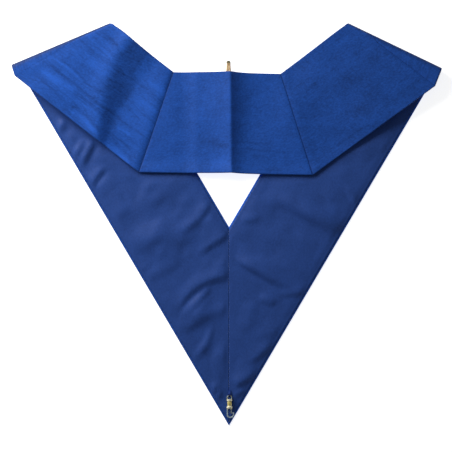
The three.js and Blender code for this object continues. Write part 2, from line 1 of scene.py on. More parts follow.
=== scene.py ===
"""Looks of a lodge officer's collar of moire ribbon, laid flat with its satin lining up.

Every cloth piece is a fine sheet worked out from the same sizes as its solid, and the swivel
hook, its sewn tab and the hanging loop are modelled over theirs. Lengths are in metres.
"""

import logging
import math
from dataclasses import dataclass, field
from enum import Enum, IntEnum
from functools import cached_property
from itertools import product

import bpy
import numpy as np
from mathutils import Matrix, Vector


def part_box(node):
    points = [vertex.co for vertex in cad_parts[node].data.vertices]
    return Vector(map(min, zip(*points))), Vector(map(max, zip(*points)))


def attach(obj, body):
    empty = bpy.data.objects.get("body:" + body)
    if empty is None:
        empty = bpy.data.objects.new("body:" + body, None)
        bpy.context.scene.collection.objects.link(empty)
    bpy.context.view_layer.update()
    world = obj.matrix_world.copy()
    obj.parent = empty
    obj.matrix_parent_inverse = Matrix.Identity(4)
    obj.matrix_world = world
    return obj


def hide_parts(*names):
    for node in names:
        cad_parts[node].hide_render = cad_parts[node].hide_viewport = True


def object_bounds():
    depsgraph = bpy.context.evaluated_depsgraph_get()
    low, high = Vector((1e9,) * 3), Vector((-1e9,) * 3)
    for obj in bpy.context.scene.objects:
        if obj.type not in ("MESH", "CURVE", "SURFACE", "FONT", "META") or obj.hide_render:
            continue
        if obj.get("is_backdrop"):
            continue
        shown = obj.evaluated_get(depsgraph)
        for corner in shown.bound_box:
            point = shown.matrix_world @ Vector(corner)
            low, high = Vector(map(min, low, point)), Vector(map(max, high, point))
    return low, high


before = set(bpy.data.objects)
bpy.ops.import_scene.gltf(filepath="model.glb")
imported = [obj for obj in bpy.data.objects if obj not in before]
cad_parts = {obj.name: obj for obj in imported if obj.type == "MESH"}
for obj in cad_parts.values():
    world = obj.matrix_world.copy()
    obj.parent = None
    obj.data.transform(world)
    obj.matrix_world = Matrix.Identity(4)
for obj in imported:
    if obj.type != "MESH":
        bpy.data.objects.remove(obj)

LOG = logging.getLogger("collar")
MM = 0.001
TURN = 2 * math.pi
UP = np.array([0.0, 0.0, 1.0])
HEM_REACH = 8 * MM  # how far in from its pressed hems the lining gets thicker
EDGE_SHADE_REACH = 1.4 * MM  # how far in from its edges the ribbon gets painted shade
FLAT_SEAM = 0.3 * MM  # a seam gets no painted edge shade where the cloth beside it rises less than this
STEEP_UNTIL, LEVEL_FROM = 0.68, 1.4  # where a turning cloth is steep or level, in radii
SHARP = math.radians(60)  # faces that meet at more than this are shaded apart
STREAK_WAVE, STREAK_BEND, STREAK_PATCH = 24 * MM, 3 * MM, 15 * MM
HOLLOW_DEPTH, HOLLOW_PLACE = 0.3, 2.4  # the hollow at a fold's foot, in heights and widths
SWELL_REACH, SWELL_START, SWELL_FULL = 0.1, 0.02, 0.2  # the swell before a panel's slope
SLOPE_LEAN, SLOPE_WIDENING = 1.15, 1.5  # how the slope leans, and how fast it widens inwards

Array = np.ndarray
Shape = tuple[Array, list]
Colour = tuple[float, float, float, float]
Piece = bpy.types.Object
Material = bpy.types.Material
Socket = bpy.types.NodeSocket


class Side(Enum):
    """The two sides of the collar, with the sign of their X."""

    LEFT = -1
    RIGHT = 1


class Seed(IntEnum):
    """The seeds of the random fields. Those of a side have the side's sign added."""

    LIMB = 11
    WAVE = 29
    PANEL = 41
    NECK = 53
    PANEL_STREAKS = 61
    NECK_STREAKS = 67


class Layer(Enum):
    """The layers of a front limb, named as its nodes are."""

    RIBBON = "front_ribbon"
    LINING = "front_lining"


def lerp(low: float | Array, high: float | Array, share: float | Array) -> float | Array:
    """Returns the value at a share of the way from low to high."""
    return low + (high - low) * share


def smoothstep(value: Array | float, low: float, high: float) -> Array | float:
    """Returns 0 below low, 1 above high and a smooth rise between them."""
    share = np.clip((value - low) / (high - low), 0.0, 1.0)
    return share * share * (3 - 2 * share)


def heading(angle: float) -> Array:
    """Returns the unit vector in plan at an angle from +X."""
    return np.array([math.cos(angle), math.sin(angle)])


def unit(vectors: Array) -> Array:
    """Returns the vectors scaled to a length of 1."""
    return vectors / np.maximum(np.linalg.norm(vectors, axis=-1, keepdims=True), 1e-12)


def run_length(points: Array) -> Array:
    """Returns the distance of each row from the first one, down each column."""
    steps = np.linalg.norm(np.diff(points, axis=0), axis=-1)
    return np.concatenate([np.zeros((1, points.shape[1])), np.cumsum(steps, axis=0)])


def path_length(path: Array) -> Array:
    """Returns the distance of each point of a path from its first one."""
    return run_length(path[:, None])[:, 0]


def surface_area(points: Array) -> float:
    """Returns the area of a grid of points."""
    first, second = np.gradient(points, axis=0), np.gradient(points, axis=1)
    return float(np.linalg.norm(np.cross(first, second), axis=-1)[:-1, :-1].sum())


def near_turn(distance: Array, radius: Array) -> Array:
    """Returns 1 where the cloth turns steeply at a fold and 0 past it."""
    return 1 - smoothstep(distance, STEEP_UNTIL * radius, LEVEL_FROM * radius)


def colour(red: float, green: float, blue: float) -> Colour:
    """Returns a linear colour from the 0 to 255 values of a screen colour."""
    channels = [value / 255 for value in (red, green, blue)]
    linear = [c / 12.92 if c <= 0.04045 else ((c + 0.055) / 1.055) ** 2.4 for c in channels]
    return (*linear, 1.0)


def shade(ground: Colour, strength: float) -> Colour:
    """Returns a colour made darker or lighter."""
    return (*(min(1.0, channel * strength) for channel in ground[:3]), 1.0)


RIBBON_BLUE = colour(32, 82, 172)
LINING_BLUE = colour(43, 77, 151)
TAB_BLUE = colour(16, 26, 66)
TAB_SHADE = colour(9, 14, 40)
FOOT_BLUE = colour(30, 60, 150)
GILT = colour(236, 218, 136)
GILT_HIGHLIGHT = colour(255, 250, 215)
GILT_DULL = colour(176, 196, 204)
CORD_BEIGE = colour(214, 184, 142)
CORD_SHADE = colour(120, 92, 52)
WHIPPING_GREY = colour(134, 132, 104)
WHIPPING_SHADE = colour(82, 80, 58)


@dataclass(frozen=True)
class Slope:
    """The slope of a shoulder panel, as shares of its length at its inner and outer edge.

    Fall is the share of the height that the steep part still loses at the outer edge, and hump
    the height of the swell before it.
    """

    centre_inner: float
    centre_outer: float
    half_inner: float
    half_outer: float
    fall: float
    hump: float

    def at(self, u: Array, v: Array) -> tuple[Array, Array]:
        """Works out how far the panel has come down.

        Args:
            u: shares of the panel's length.
            v: shares of its width from the inner edge.

        Returns:
            The share of the height that is lost, and the swell's height, at each place.
        """
        centre = lerp(self.centre_inner, self.centre_outer, v**2)
        half = lerp(self.half_outer, self.half_inner, (1 - v) ** SLOPE_WIDENING)
        way = np.clip((u - centre + half) / (2 * half), 0, 1) ** SLOPE_LEAN
        narrow = way * way * (3 - 2 * way)
        wide = smoothstep(u, 0.0, 1.0)
        swell = np.exp(-(((u - centre + half) / SWELL_REACH) ** 2))
        swell = swell * smoothstep(u, SWELL_START, SWELL_FULL)
        return lerp(wide, narrow, lerp(1.0, self.fall, v)), self.hump * swell


@dataclass(frozen=True)
class Fold:
    """One fold of the loose lining.

    Along and across are shares of the limb, turn is in degrees from across the limb, and bend,
    length and width are shares of the ribbon's width. Steep is the width of the fold's far side
    as a share of its width, and height a share of the fold height.
    """

    along: float
    across: float
    turn: float
    bend: float
    length: float
    width: float
    steep: float
    height: float


@dataclass(frozen=True)
class Streak:
    """One streak of the watered figure on a strip.

    Start and end are shares of the strip's length, across is a share of its width and drift
    what it moves across on its way. Width is in metres, and tone is negative where it is dark.
    """

    start: float
    end: float
    across: float
    drift: float
    width: float
    tone: float


def streak_table(*rows: tuple[float, ...]) -> tuple[Streak, ...]:
    """Returns the streaks of rows that have their width in millimetres."""
    return tuple(Streak(*row[:4], row[4] * MM, row[5]) for row in rows)


@dataclass(frozen=True)
class Seams:
    """How high the cloth swells beside its first and last seam, and how far from them."""

    first_rise: float
    first_reach: float
    last_rise: float
    last_reach: float

    @staticmethod
    def swell(distance: Array, rise: float, reach: float) -> Array:
        """Returns the swell's height at distances from a seam, none on the seam itself."""
        return rise * (distance / reach) * np.exp(1 - distance / reach)

    @staticmethod
    def hidden(rise: float) -> float:
        """Returns the distance from an edge that a seam counts as, for the painted edge shade: a
        flat seam gets none.
        """
        return max(0.0, 1 - rise / FLAT_SEAM) * EDGE_SHADE_REACH


@dataclass(frozen=True)
class Shoulder:
    """The sizes and tones in which the two sides of the collar differ.

    Attributes:
        fold_skew: how far the shoulder fold turns from square to the limb.
        fold_flare: how much longer the fold is than that turn makes it.
        mitre: the turn of the shoulder's seam.
        edge_bow: how far the panel's inner edge bows out.
        fold_painted_tone: painted tone of the ribbon between the fold and the seam, light on the
            left and shade on the right.
        turn_painted_shade: painted shade on the cloth on the steep part of the turn.
        seam_round: how far the rims at the seam are rounded.
        rim_painted_light: painted light on the ribbon's rim round the lining, against the shade of
            the lining's edge.
        tone: painted tone of the whole panel, light on the left and shade on the right.
        ripple: height of the lining's small ripples.
        front_figure, front_edge_shade: watered figure of the front ribbon, and the painted shade on
            its edges.
        panel_figure, panel_shift: watered figure of the panel and where it starts.
        slope, seams, streaks, folds: the panel's slope, its seams and the two tables.
    """

    fold_skew: float
    fold_flare: float
    mitre: float
    edge_bow: float
    fold_painted_tone: float
    turn_painted_shade: float
    seam_round: float
    rim_painted_light: float
    tone: float
    ripple: float
    front_figure: float
    front_edge_shade: float
    panel_figure: float
    panel_shift: float
    slope: Slope
    seams: Seams
    streaks: tuple[Streak, ...]
    folds: tuple[Fold, ...]


SHOULDERS = {
    Side.LEFT: Shoulder(
        fold_skew=math.radians(7.3),
        fold_flare=3.2 * MM,
        mitre=math.radians(15.2),
        edge_bow=2.2 * MM,
        fold_painted_tone=0.12,
        turn_painted_shade=-1.7,
        seam_round=0.1,
        rim_painted_light=0.1,
        tone=0.14,
        ripple=1.15 * MM,
        front_figure=0.9,
        front_edge_shade=0.25,
        panel_figure=0.7,
        panel_shift=1.3,
        slope=Slope(0.54, 0.695, 0.25, 0.05, 0.45, 1.4 * MM),
        seams=Seams(0.0, 3.0 * MM, 1.6 * MM, 8.0 * MM),
        # The dark rows 11 mm wide and more are painted shade on the panel's slope.
        streaks=streak_table(
            (0.1, 0.64, 0.87, 0.02, 1.8, -0.6), (0.04, 0.74, 0.7, -0.03, 1.9, -0.55),
            (0.0, 0.45, 0.34, -0.02, 1.8, -0.45), (0.42, 1.0, 0.32, -0.03, 1.6, -0.55),
            (0.06, 0.32, 0.11, 0.0, 1.5, -0.6), (0.7, 0.97, 0.69, -0.01, 1.7, -0.6),
            (0.66, 0.9, 0.87, 0.0, 1.6, -0.55), (0.3, 0.62, 0.78, 0.02, 1.2, -0.35),
            (0.1, 0.5, 0.52, -0.02, 1.6, -0.25), (0.78, 1.0, 0.5, 0.02, 1.3, -0.35),
            (0.4, 0.64, 0.94, -0.02, 3.0, 0.8), (0.05, 0.35, 0.78, -0.04, 4.0, 0.7),
            (0.76, 1.0, 0.22, 0.0, 6.0, 0.7), (0.76, 0.98, 0.45, -0.03, 5.0, 0.5),
            (0.72, 0.85, 0.77, 0.0, 3.0, 0.8), (0.7, 0.92, 0.97, 0.0, 4.0, 0.9),
            (0.08, 0.26, 0.04, 0.01, 3.0, 0.7), (0.05, 0.5, 0.4, 0.0, 6.0, 0.3),
            (0.02, 0.55, 0.63, 0.02, 1.7, 0.5), (0.1, 0.6, 0.82, -0.01, 1.8, 0.5),
            (0.0, 0.4, 0.25, 0.02, 1.6, 0.4), (0.05, 0.5, 0.6, 0.0, 1.4, -0.4),
            (0.02, 0.4, 0.17, 0.0, 1.4, -0.4), (0.38, 0.62, 0.1, 0.0, 20, -0.6),
            (0.76, 1.0, 0.5, 0.0, 32, 0.22), (0.46, 0.71, 0.45, 0.0, 18, -0.95),
            (0.64, 0.92, 0.06, 0.0, 11, -0.3), (0.59, 0.73, 0.8, 0.0, 14, -0.65),
        ),
        folds=(
            Fold(0.214, 0.2, -17, 0.022, 0.42, 0.119, 0.2, 0.35),
            Fold(0.113, 0.22, -3, 0.002, 0.35, 0.079, 0.25, 0.6),
            Fold(0.17, 0.54, -1, -0.067, 0.57, 0.079, 0.25, 0.6),
            Fold(0.161, 0.6, -18, 0.006, 0.31, 0.05, 0.35, 0.3),
            Fold(0.385, 0.61, 8, -0.004, 0.65, 0.139, 1.0, 0.5),
            Fold(0.165, 0.73, -2, -0.002, 0.37, 0.099, 0.5, 0.6),
            Fold(0.121, 0.79, -32, 0.022, 0.38, 0.05, 0.7, 0.55),
            Fold(0.084, 0.98, -8, -0.003, 0.2, 0.05, 0.4, 0.7),
            Fold(0.055, 0.95, -14, -0.007, 0.18, 0.04, 0.4, 0.6),
            Fold(0.718, 0.82, -32, -0.007, 0.3, 0.059, 0.4, 0.65),
            Fold(0.657, 0.88, -26, -0.014, 0.22, 0.079, 0.25, 0.6),
            Fold(0.741, 0.91, -30, -0.004, 0.24, 0.03, 0.8, 0.4),
            Fold(0.813, 0.95, -31, -0.006, 0.22, 0.035, 0.8, 0.45),
            Fold(0.414, 0.94, -14, 0.0, 0.21, 0.05, 0.5, 0.25),
        ),
    ),
    Side.RIGHT: Shoulder(
        fold_skew=math.radians(4.6),
        fold_flare=1.3 * MM,
        mitre=math.radians(16.8),
        edge_bow=0.8 * MM,
        fold_painted_tone=-0.2,
        turn_painted_shade=-1.3,
        seam_round=0.35,
        rim_painted_light=0.9,
        tone=-0.22,
        ripple=0.7 * MM,
        front_figure=0.5,
        front_edge_shade=0.0,
        panel_figure=0.3,
        panel_shift=8.0,
        slope=Slope(0.5, 0.5, 0.4, 0.42, 1.0, 0.0),
        seams=Seams(1.0 * MM, 4.0 * MM, 0.3 * MM, 4.0 * MM),
        streaks=streak_table(
            (0.3, 0.62, 0.44, 0.02, 12, -0.3), (0.28, 0.56, 0.74, 0.05, 11, -0.35),
            (0.0, 0.3, 0.45, 0.0, 12, -0.2), (0.5, 1.0, 0.9, 0.02, 2.0, -0.25),
            (0.4, 0.95, 0.25, -0.02, 2.0, -0.2), (0.1, 0.5, 0.12, 0.0, 5, 0.2),
        ),
        folds=(
            Fold(0.456, 0.62, 4, 0.007, 0.62, 0.139, 0.4, 1.2),
            Fold(0.195, 0.51, 2, 0.007, 0.54, 0.119, 0.2, 0.85),
            Fold(0.324, 0.89, 34, 0.017, 0.23, 0.059, 0.4, 0.4),
            Fold(0.21, 0.7, 8, 0.0, 0.15, 0.05, 0.5, 0.35),
            Fold(0.113, 0.62, 112, 0.008, 0.27, 0.089, 0.7, 0.3),
            Fold(0.16, 0.91, 64, -0.001, 0.29, 0.079, 0.4, 0.45),
            Fold(0.082, 0.91, 54, 0.002, 0.26, 0.069, 0.35, 0.5),
            Fold(0.049, 0.92, 45, 0.018, 0.2, 0.03, 0.6, 0.35),
            Fold(0.161, 0.14, 38, -0.006, 0.16, 0.059, 0.5, 0.25),
            Fold(0.612, 0.9, -27, -0.003, 0.23, 0.04, 0.5, 0.3),
        ),
    ),
}


@dataclass(frozen=True)
class CollarSizes:
    """The sizes that both sides of the collar share, in metres and radians, as its solids."""

    ribbon_width: float = 101 * MM
    ribbon_wall: float = 1.2 * MM
    lining_wall: float = 1.0 * MM
    lining_inset: float = 1.8 * MM
    seam_gap: float = 0.01 * MM
    layer_gap: float = 0.3 * MM
    point_half_angle: float = math.radians(30.5)
    limb_inner_length: float = 235.5 * MM
    fold_height_inner: float = 9 * MM
    fold_height_outer: float = 14 * MM
    fold_square: float = 0.6
    seam_past_fold: float = 1.5 * MM
    edge_bow_share: float = 0.17
    neck_top_width: float = 107.5 * MM
    neck_top_reach: float = 353.2 * MM
    neck_shift: float = -2.05 * MM
    neck_tilt: float = math.radians(-0.9)
    neck_sag: float = 1.9 * MM
    neck_sag_reach: float = 45 * MM
    crease_height_top: float = 10 * MM
    crease_height_foot: float = 8 * MM
    crease_share: float = 0.53
    crease_fall_left: float = 24 * MM
    crease_fall_right: float = 11 * MM
    crease_round: float = 1.2 * MM
    crease_pull: float = 1.1 * MM
    crease_fade_start: float = 0.3
    crease_fade_end: float = 0.47
    lining_puff: float = 0.5 * MM
    puff_reach: float = 20 * MM
    fold_height: float = 3.2 * MM
    fade_start: float = 1 * MM
    fade_edge: float = 5 * MM
    fade_band: float = 8 * MM
    fade_hook: float = 6 * MM
    hook_half_room: float = 4.3 * MM
    hook_reach: float = 37.5 * MM

    @property
    def lining_step(self) -> float:
        """Distance between the middles of the ribbon and of the lining on it."""
        return self.ribbon_wall / 2 + self.layer_gap + self.lining_wall / 2

    @property
    def lining_top(self) -> float:
        """Height of the lining's upper face where it lies flat."""
        return self.ribbon_wall + self.layer_gap + self.lining_wall

    @property
    def band_middle(self) -> float:
        """Height of the band's middle where it rests on the limbs."""
        return self.lining_top + self.layer_gap + self.ribbon_wall / 2

    @property
    def crotch_reach(self) -> float:
        """Distance from the point of the collar to the crotch of its limbs."""
        return self.ribbon_width / math.sin(self.point_half_angle)


class SoftNoise:
    """A smooth random field in two dimensions, the same in every run."""

    def __init__(self, seed: int, cells: int = 64) -> None:
        """Draws the field's lattice.

        Args:
            seed: the seed of the random draws.
            cells: how many lattice cells the field has before it repeats.
        """
        self.cells = cells
        self.lattice = np.random.default_rng(seed).uniform(-1, 1, (cells, cells))

    def __call__(self, x: Array, y: Array) -> Array:
        """Works out the field, from -1 to 1 and with one bump a unit.

        Args:
            x: first coordinates, in bumps.
            y: second coordinates, in bumps.

        Returns:
            One value for each point.
        """
        column, row = np.floor(x).astype(int), np.floor(y).astype(int)
        across, up = smoothstep(x - column, 0, 1), smoothstep(y - row, 0, 1)
        corner = lambda i, j: self.lattice[(column + i) % self.cells, (row + j) % self.cells]
        low = lerp(corner(0, 0), corner(1, 0), across)
        high = lerp(corner(0, 1), corner(1, 1), across)
        return lerp(low, high, up)

    def bumps(self, a: Array, b: Array, size: tuple, shift: tuple = (0, 0)) -> Array:
        """Returns the field over places in metres, with bumps of a size in millimetres."""
        return self(a / (size[0] * MM) + shift[0], b / (size[1] * MM) + shift[1])


class SidePlan:
    """The plan of one side: its corners, fold axis and seams, with X counted outwards."""

    def __init__(self, sizes: CollarSizes, side: Side) -> None:
        """Works out the side's corners.

        Args:
            sizes: the collar's shared sizes.
            side: the side that is worked out.
        """
        self.sizes, self.side, self.own = sizes, side, SHOULDERS[side]
        self.up = heading(math.pi / 2 - sizes.point_half_angle)
        self.crotch = np.array([0.0, sizes.crotch_reach])
        self.inner_corner = self.crotch + self.up * sizes.limb_inner_length
        self.axis = heading(self.own.fold_skew - sizes.point_half_angle)
        self.beyond = np.array([-self.axis[1], self.axis[0]])
        self.fold_length = sizes.ribbon_width / math.cos(self.own.fold_skew) + self.own.fold_flare
        seam_length = sizes.ribbon_width / math.cos(self.own.mitre) + self.own.fold_flare
        self.seam_outer = heading(self.own.mitre - self.own.fold_skew) * seam_length
        self.neck_top, self.neck_foot = self._neck_seam()

    def _neck_seam(self) -> tuple[Array, Array]:
        """Returns the top and the foot of the seam between this side and the neck panel."""
        sizes, sign = self.sizes, self.side.value
        top = np.array([sizes.neck_shift, sizes.neck_top_reach])
        top = top + heading(sizes.neck_tilt) * (sign * sizes.neck_top_width / 2)
        top[0] *= sign
        rise = math.atan2(self.inner_corner[1] - top[1], self.inner_corner[0] - top[0])
        tilt = sign * sizes.neck_tilt
        mitre = (rise - tilt) / 2
        down = heading(-math.pi / 2 + tilt + mitre)
        return top, top + down * sizes.ribbon_width / math.cos(mitre)

    @property
    def outer_length(self) -> float:
        """Length of the limb's outer edge from the point to the fold."""
        sizes = self.sizes
        foot = sizes.ribbon_width / math.tan(sizes.point_half_angle)
        return foot + sizes.limb_inner_length + sizes.ribbon_width * math.tan(self.own.fold_skew)

    def fold_radius(self, along: Array) -> Array:
        """Returns the radius of the ribbon's middle in the fold, at places along the fold."""
        share = np.clip(along / self.fold_length, 0, 1)
        height = lerp(self.sizes.fold_height_inner, self.sizes.fold_height_outer, share)
        return (height - self.sizes.ribbon_wall) / 2

    def folded(self, along: Array, past: Array, inset: float = 0.0) -> Array:
        """Places points of the folded cloth.

        Args:
            along: distances along the fold.
            past: distances over the cloth past the crease, less than zero below it.
            inset: how far inside the ribbon's middle the layer runs.

        Returns:
            The points, with X counted outwards.
        """
        radius = self.fold_radius(along)
        quarter = radius * math.pi / 2
        angle = np.clip(past, -quarter, quarter) / radius
        level = np.abs(np.cos(angle)) ** self.sizes.fold_square
        steep = np.sign(angle) * np.abs(np.sin(angle)) ** self.sizes.fold_square
        reach = radius - (radius - inset) * level + np.maximum(0, np.abs(past) - quarter)
        flat = self.inner_corner + along[..., None] * self.axis - reach[..., None] * self.beyond
        height = self.sizes.ribbon_wall / 2 + radius + (radius - inset) * steep
        return np.concatenate([flat, height[..., None]], axis=-1)

    def flat_of_upper(self, point: Array) -> Array:
        """Returns the place along and past the fold of a point in plan on the upper layer."""
        offset = point - self.inner_corner
        along = float(offset @ self.axis)
        spare = (math.pi / 2 - 1) * float(self.fold_radius(np.array(along)))
        return np.array([along, -float(offset @ self.beyond) + spare])

    def outside_band(self, x: Array, y: Array) -> Array:
        """Returns how far points in plan lie outside the band's lower edge."""
        end = self.folded(np.array(self.seam_outer[0]), np.array(self.seam_outer[1]))[:2]
        run = unit(end - self.neck_foot)
        below = run[1] * (x - self.neck_foot[0]) - run[0] * (y - self.neck_foot[1])
        return np.maximum(self.neck_foot[1] - y, below)

    def lining_rise(self, x: Array, y: Array, edge: Array) -> Array:
        """Works out how far the loose lining stands off its flat layer.

        Args:
            x: places in plan, counted outwards.
            y: places in plan from the point of the collar.
            edge: distance of each place from the lining's nearest sewn edge.

        Returns:
            The rise at each place.
        """
        sizes = self.sizes
        rise = np.zeros_like(x)
        for fold in self.own.folds:
            inner = self.crotch + self.up * sizes.limb_inner_length * fold.along
            outer = self.up * self.outer_length * fold.along
            centre = lerp(inner, outer, fold.across)
            run = heading(math.radians(fold.turn) - sizes.point_half_angle)
            dx, dy = x - centre[0], y - centre[1]
            lengthwise = (dx * run[0] + dy * run[1]) / (fold.length * sizes.ribbon_width / 2)
            bow = fold.bend * sizes.ribbon_width * lengthwise**2
            sideways = (dy * run[0] - dx * run[1] - bow) / (fold.width * sizes.ribbon_width)
            height = fold.height * sizes.fold_height
            rise += height * fold_profile(lengthwise, sideways, fold.steep)
        hook = np.hypot(x, np.maximum(0, y - sizes.hook_reach)) - sizes.hook_half_room
        free = smoothstep(self.outside_band(x, y), sizes.fade_start, sizes.fade_band)
        free = free * smoothstep(hook, 0, sizes.fade_hook)
        puff = sizes.lining_puff * smoothstep(edge, 0, sizes.puff_reach)
        return np.maximum(puff + rise * smoothstep(edge, 0, sizes.fade_edge), 0) * free


def fold_profile(lengthwise: Array, sideways: Array, steep: float) -> Array:
    """Returns the height of a fold that is steep on one side, with a hollow at its foot."""
    off = sideways / np.where(sideways < 0, steep, 1.0)
    crest = np.exp(-(off**2))
    hollow = HOLLOW_DEPTH * np.exp(-((off + HOLLOW_PLACE) ** 2)) * (sideways < 0)
    return np.exp(-(lengthwise**4)) * (crest - hollow)


def band_rest(sizes: CollarSizes, x: Array, y: Array) -> Array:
    """Returns the height of the band's middle where it rests on the limbs or sags."""
    half = sizes.point_half_angle
    clear = (y - sizes.crotch_reach) * math.sin(half) - np.abs(x) * math.cos(half)
    return sizes.band_middle - sizes.neck_sag * smoothstep(clear, 0, sizes.neck_sag_reach)


@dataclass
class Cloth:
    """The middle surface of a cloth piece: a grid of points with its place on the strip.

    Attributes:
        points: rows by columns by 3.
        across: each point's distance over the strip's width from its inner edge.
        along: each point's distance along the strip.
        edge: each point's distance from the nearest sewn or folded edge, which sets the painted
            edge shade.
        figure: the tone of the watered figure at each point, with painted light and shade added on
            rims, folds and panels.
        pressed: each point's distance from the nearest pressed hem, where it has hems.
    """

    points: Array
    across: Array
    along: Array
    edge: Array
    figure: Array | None = None
    pressed: Array | None = None

    def draw(self, streaks: tuple[Streak, ...], width: float, seed: int) -> None:
        """Draws the streaks of a watered figure.

        Args:
            streaks: the table of streaks.
            width: the strip's width.
            seed: the seed of the streaks' small waves.
        """
        share = self.along / self.along.max(axis=0)
        wave = SoftNoise(seed)
        self.figure = np.zeros_like(share)
        for row, streak in enumerate(streaks):
            way = (share - streak.start) / (streak.end - streak.start)
            bend = wave(self.along / STREAK_WAVE, np.full_like(share, row * 0.7)) * STREAK_BEND
            line = streak.across + streak.drift * (way - 0.5)
            off = (self.across - line * width - bend) / (streak.width * 0.75)
            ends = smoothstep(way, -0.08, 0.15) * (1 - smoothstep(way, 0.85, 1.08))
            patch = wave(self.along / STREAK_PATCH + 31, np.full_like(share, row * 3.7))
            self.figure += streak.tone * (0.75 + 0.5 * patch) * ends * np.exp(-(off**2))


def link_object(name: str, data: bpy.types.ID) -> Piece:
    """Makes an object of its data and links it to the scene."""
    made = bpy.data.objects.new(name, data)
    bpy.context.scene.collection.objects.link(made)
    return made


def mesh_object(name: str, vertices: Array, faces: list) -> Piece:
    """Makes a smooth mesh object, with its faces turned outwards if it is closed.

    Args:
        name: the object's name.
        vertices: the points, n by 3.
        faces: lists of vertex indices.

    Returns:
        The new object, linked to the scene.
    """
    mesh = bpy.data.meshes.new(name)
    mesh.from_pydata(vertices.tolist(), [], faces)
    mesh.update()
    triangles = np.array([(f[0], f[i], f[i + 1]) for f in faces for i in range(1, len(f) - 1)])
    a, b, c = (vertices[triangles[:, i]] for i in range(3))
    if np.einsum("ij,ij->i", a, np.cross(b, c)).sum() < 0:
        mesh.flip_normals()
    mesh.polygons.foreach_set("use_smooth", np.ones(len(mesh.polygons), bool))
    return link_object(name, mesh)


def ring_faces(levels: int, sides: int, closed: bool = False) -> list[list[int]]:
    """Works out the faces between rings of points that follow each other.

    Args:
        levels: how many rings there are.
        sides: how many points each has.
        closed: whether the last ring is joined to the first.

    Returns:
        The faces as lists of point numbers.
    """
    faces = []
    for ring in range(levels if closed else levels - 1):
        low, high = ring * sides, (ring + 1) % levels * sides
        for k in range(sides):
            after = (k + 1) % sides
            faces.append([low + k, low + after, high + after, high + k])
    return faces


def grid_faces(rows: int, columns: int) -> Array:
    """Returns the faces of a grid of points, numbered row by row."""
    index = np.arange(rows * columns).reshape(rows, columns)
    corners = index[:-1, :-1], index[:-1, 1:], index[1:, 1:], index[1:, :-1]
    return np.stack(corners, axis=-1).reshape(-1, 4)


def tube(path: Array, radius: float | Array, sides: int) -> Shape:
    """Makes a closed tube along a path.

    Args:
        path: the points that its middle follows.
        radius: its radius, or one for each point.
        sides: how many sides it has.

    Returns:
        Its vertices and faces.
    """
    path = np.asarray(path, float)
    radii = np.broadcast_to(np.asarray(radius, float), (len(path),))
    forward = unit(np.gradient(path, axis=0))
    helper = UP if abs(forward[0][2]) < 0.9 else np.array([1.0, 0.0, 0.0])
    right = unit(np.cross(forward[0], helper))
    turns = TURN * np.arange(sides) / sides
    rings = []
    for point, ahead, size in zip(path, forward, radii):
        right = unit(right - ahead * (right @ ahead))
        up = np.cross(ahead, right)
        rings.append(point + size * (np.cos(turns)[:, None] * right + np.sin(turns)[:, None] * up))
    faces = ring_faces(len(path), sides)
    faces.append(list(range(sides))[::-1])
    faces.append([(len(path) - 1) * sides + k for k in range(sides)])
    return np.concatenate(rings), faces


def joined(name: str, parts: list) -> Piece:
    """Joins meshes given as vertices and faces into one object."""
    vertices, faces, count = [], [], 0
    for points, loops in parts:
        vertices.append(points)
        faces += [[index + count for index in loop] for loop in loops]
        count += len(points)
    return mesh_object(name, np.concatenate(vertices), faces)


def smooth_path(points: Array, steps: int) -> Array:
    """Returns a smooth curve through points, with even steps between each two."""
    points = np.asarray(points, float)
    ends = [2 * points[0] - points[1], *points, 2 * points[-1] - points[-2]]
    curve = []
    for before, start, end, after in zip(ends, ends[1:], ends[2:], ends[3:]):
        for share in np.arange(steps) / steps:
            curve.append(
                0.5 * (2 * start + (end - before) * share
                       + (2 * before - 5 * start + 4 * end - after) * share**2
                       + (3 * start - before - 3 * end + after) * share**3)
            )
    curve.append(points[-1])
    return np.array(curve)


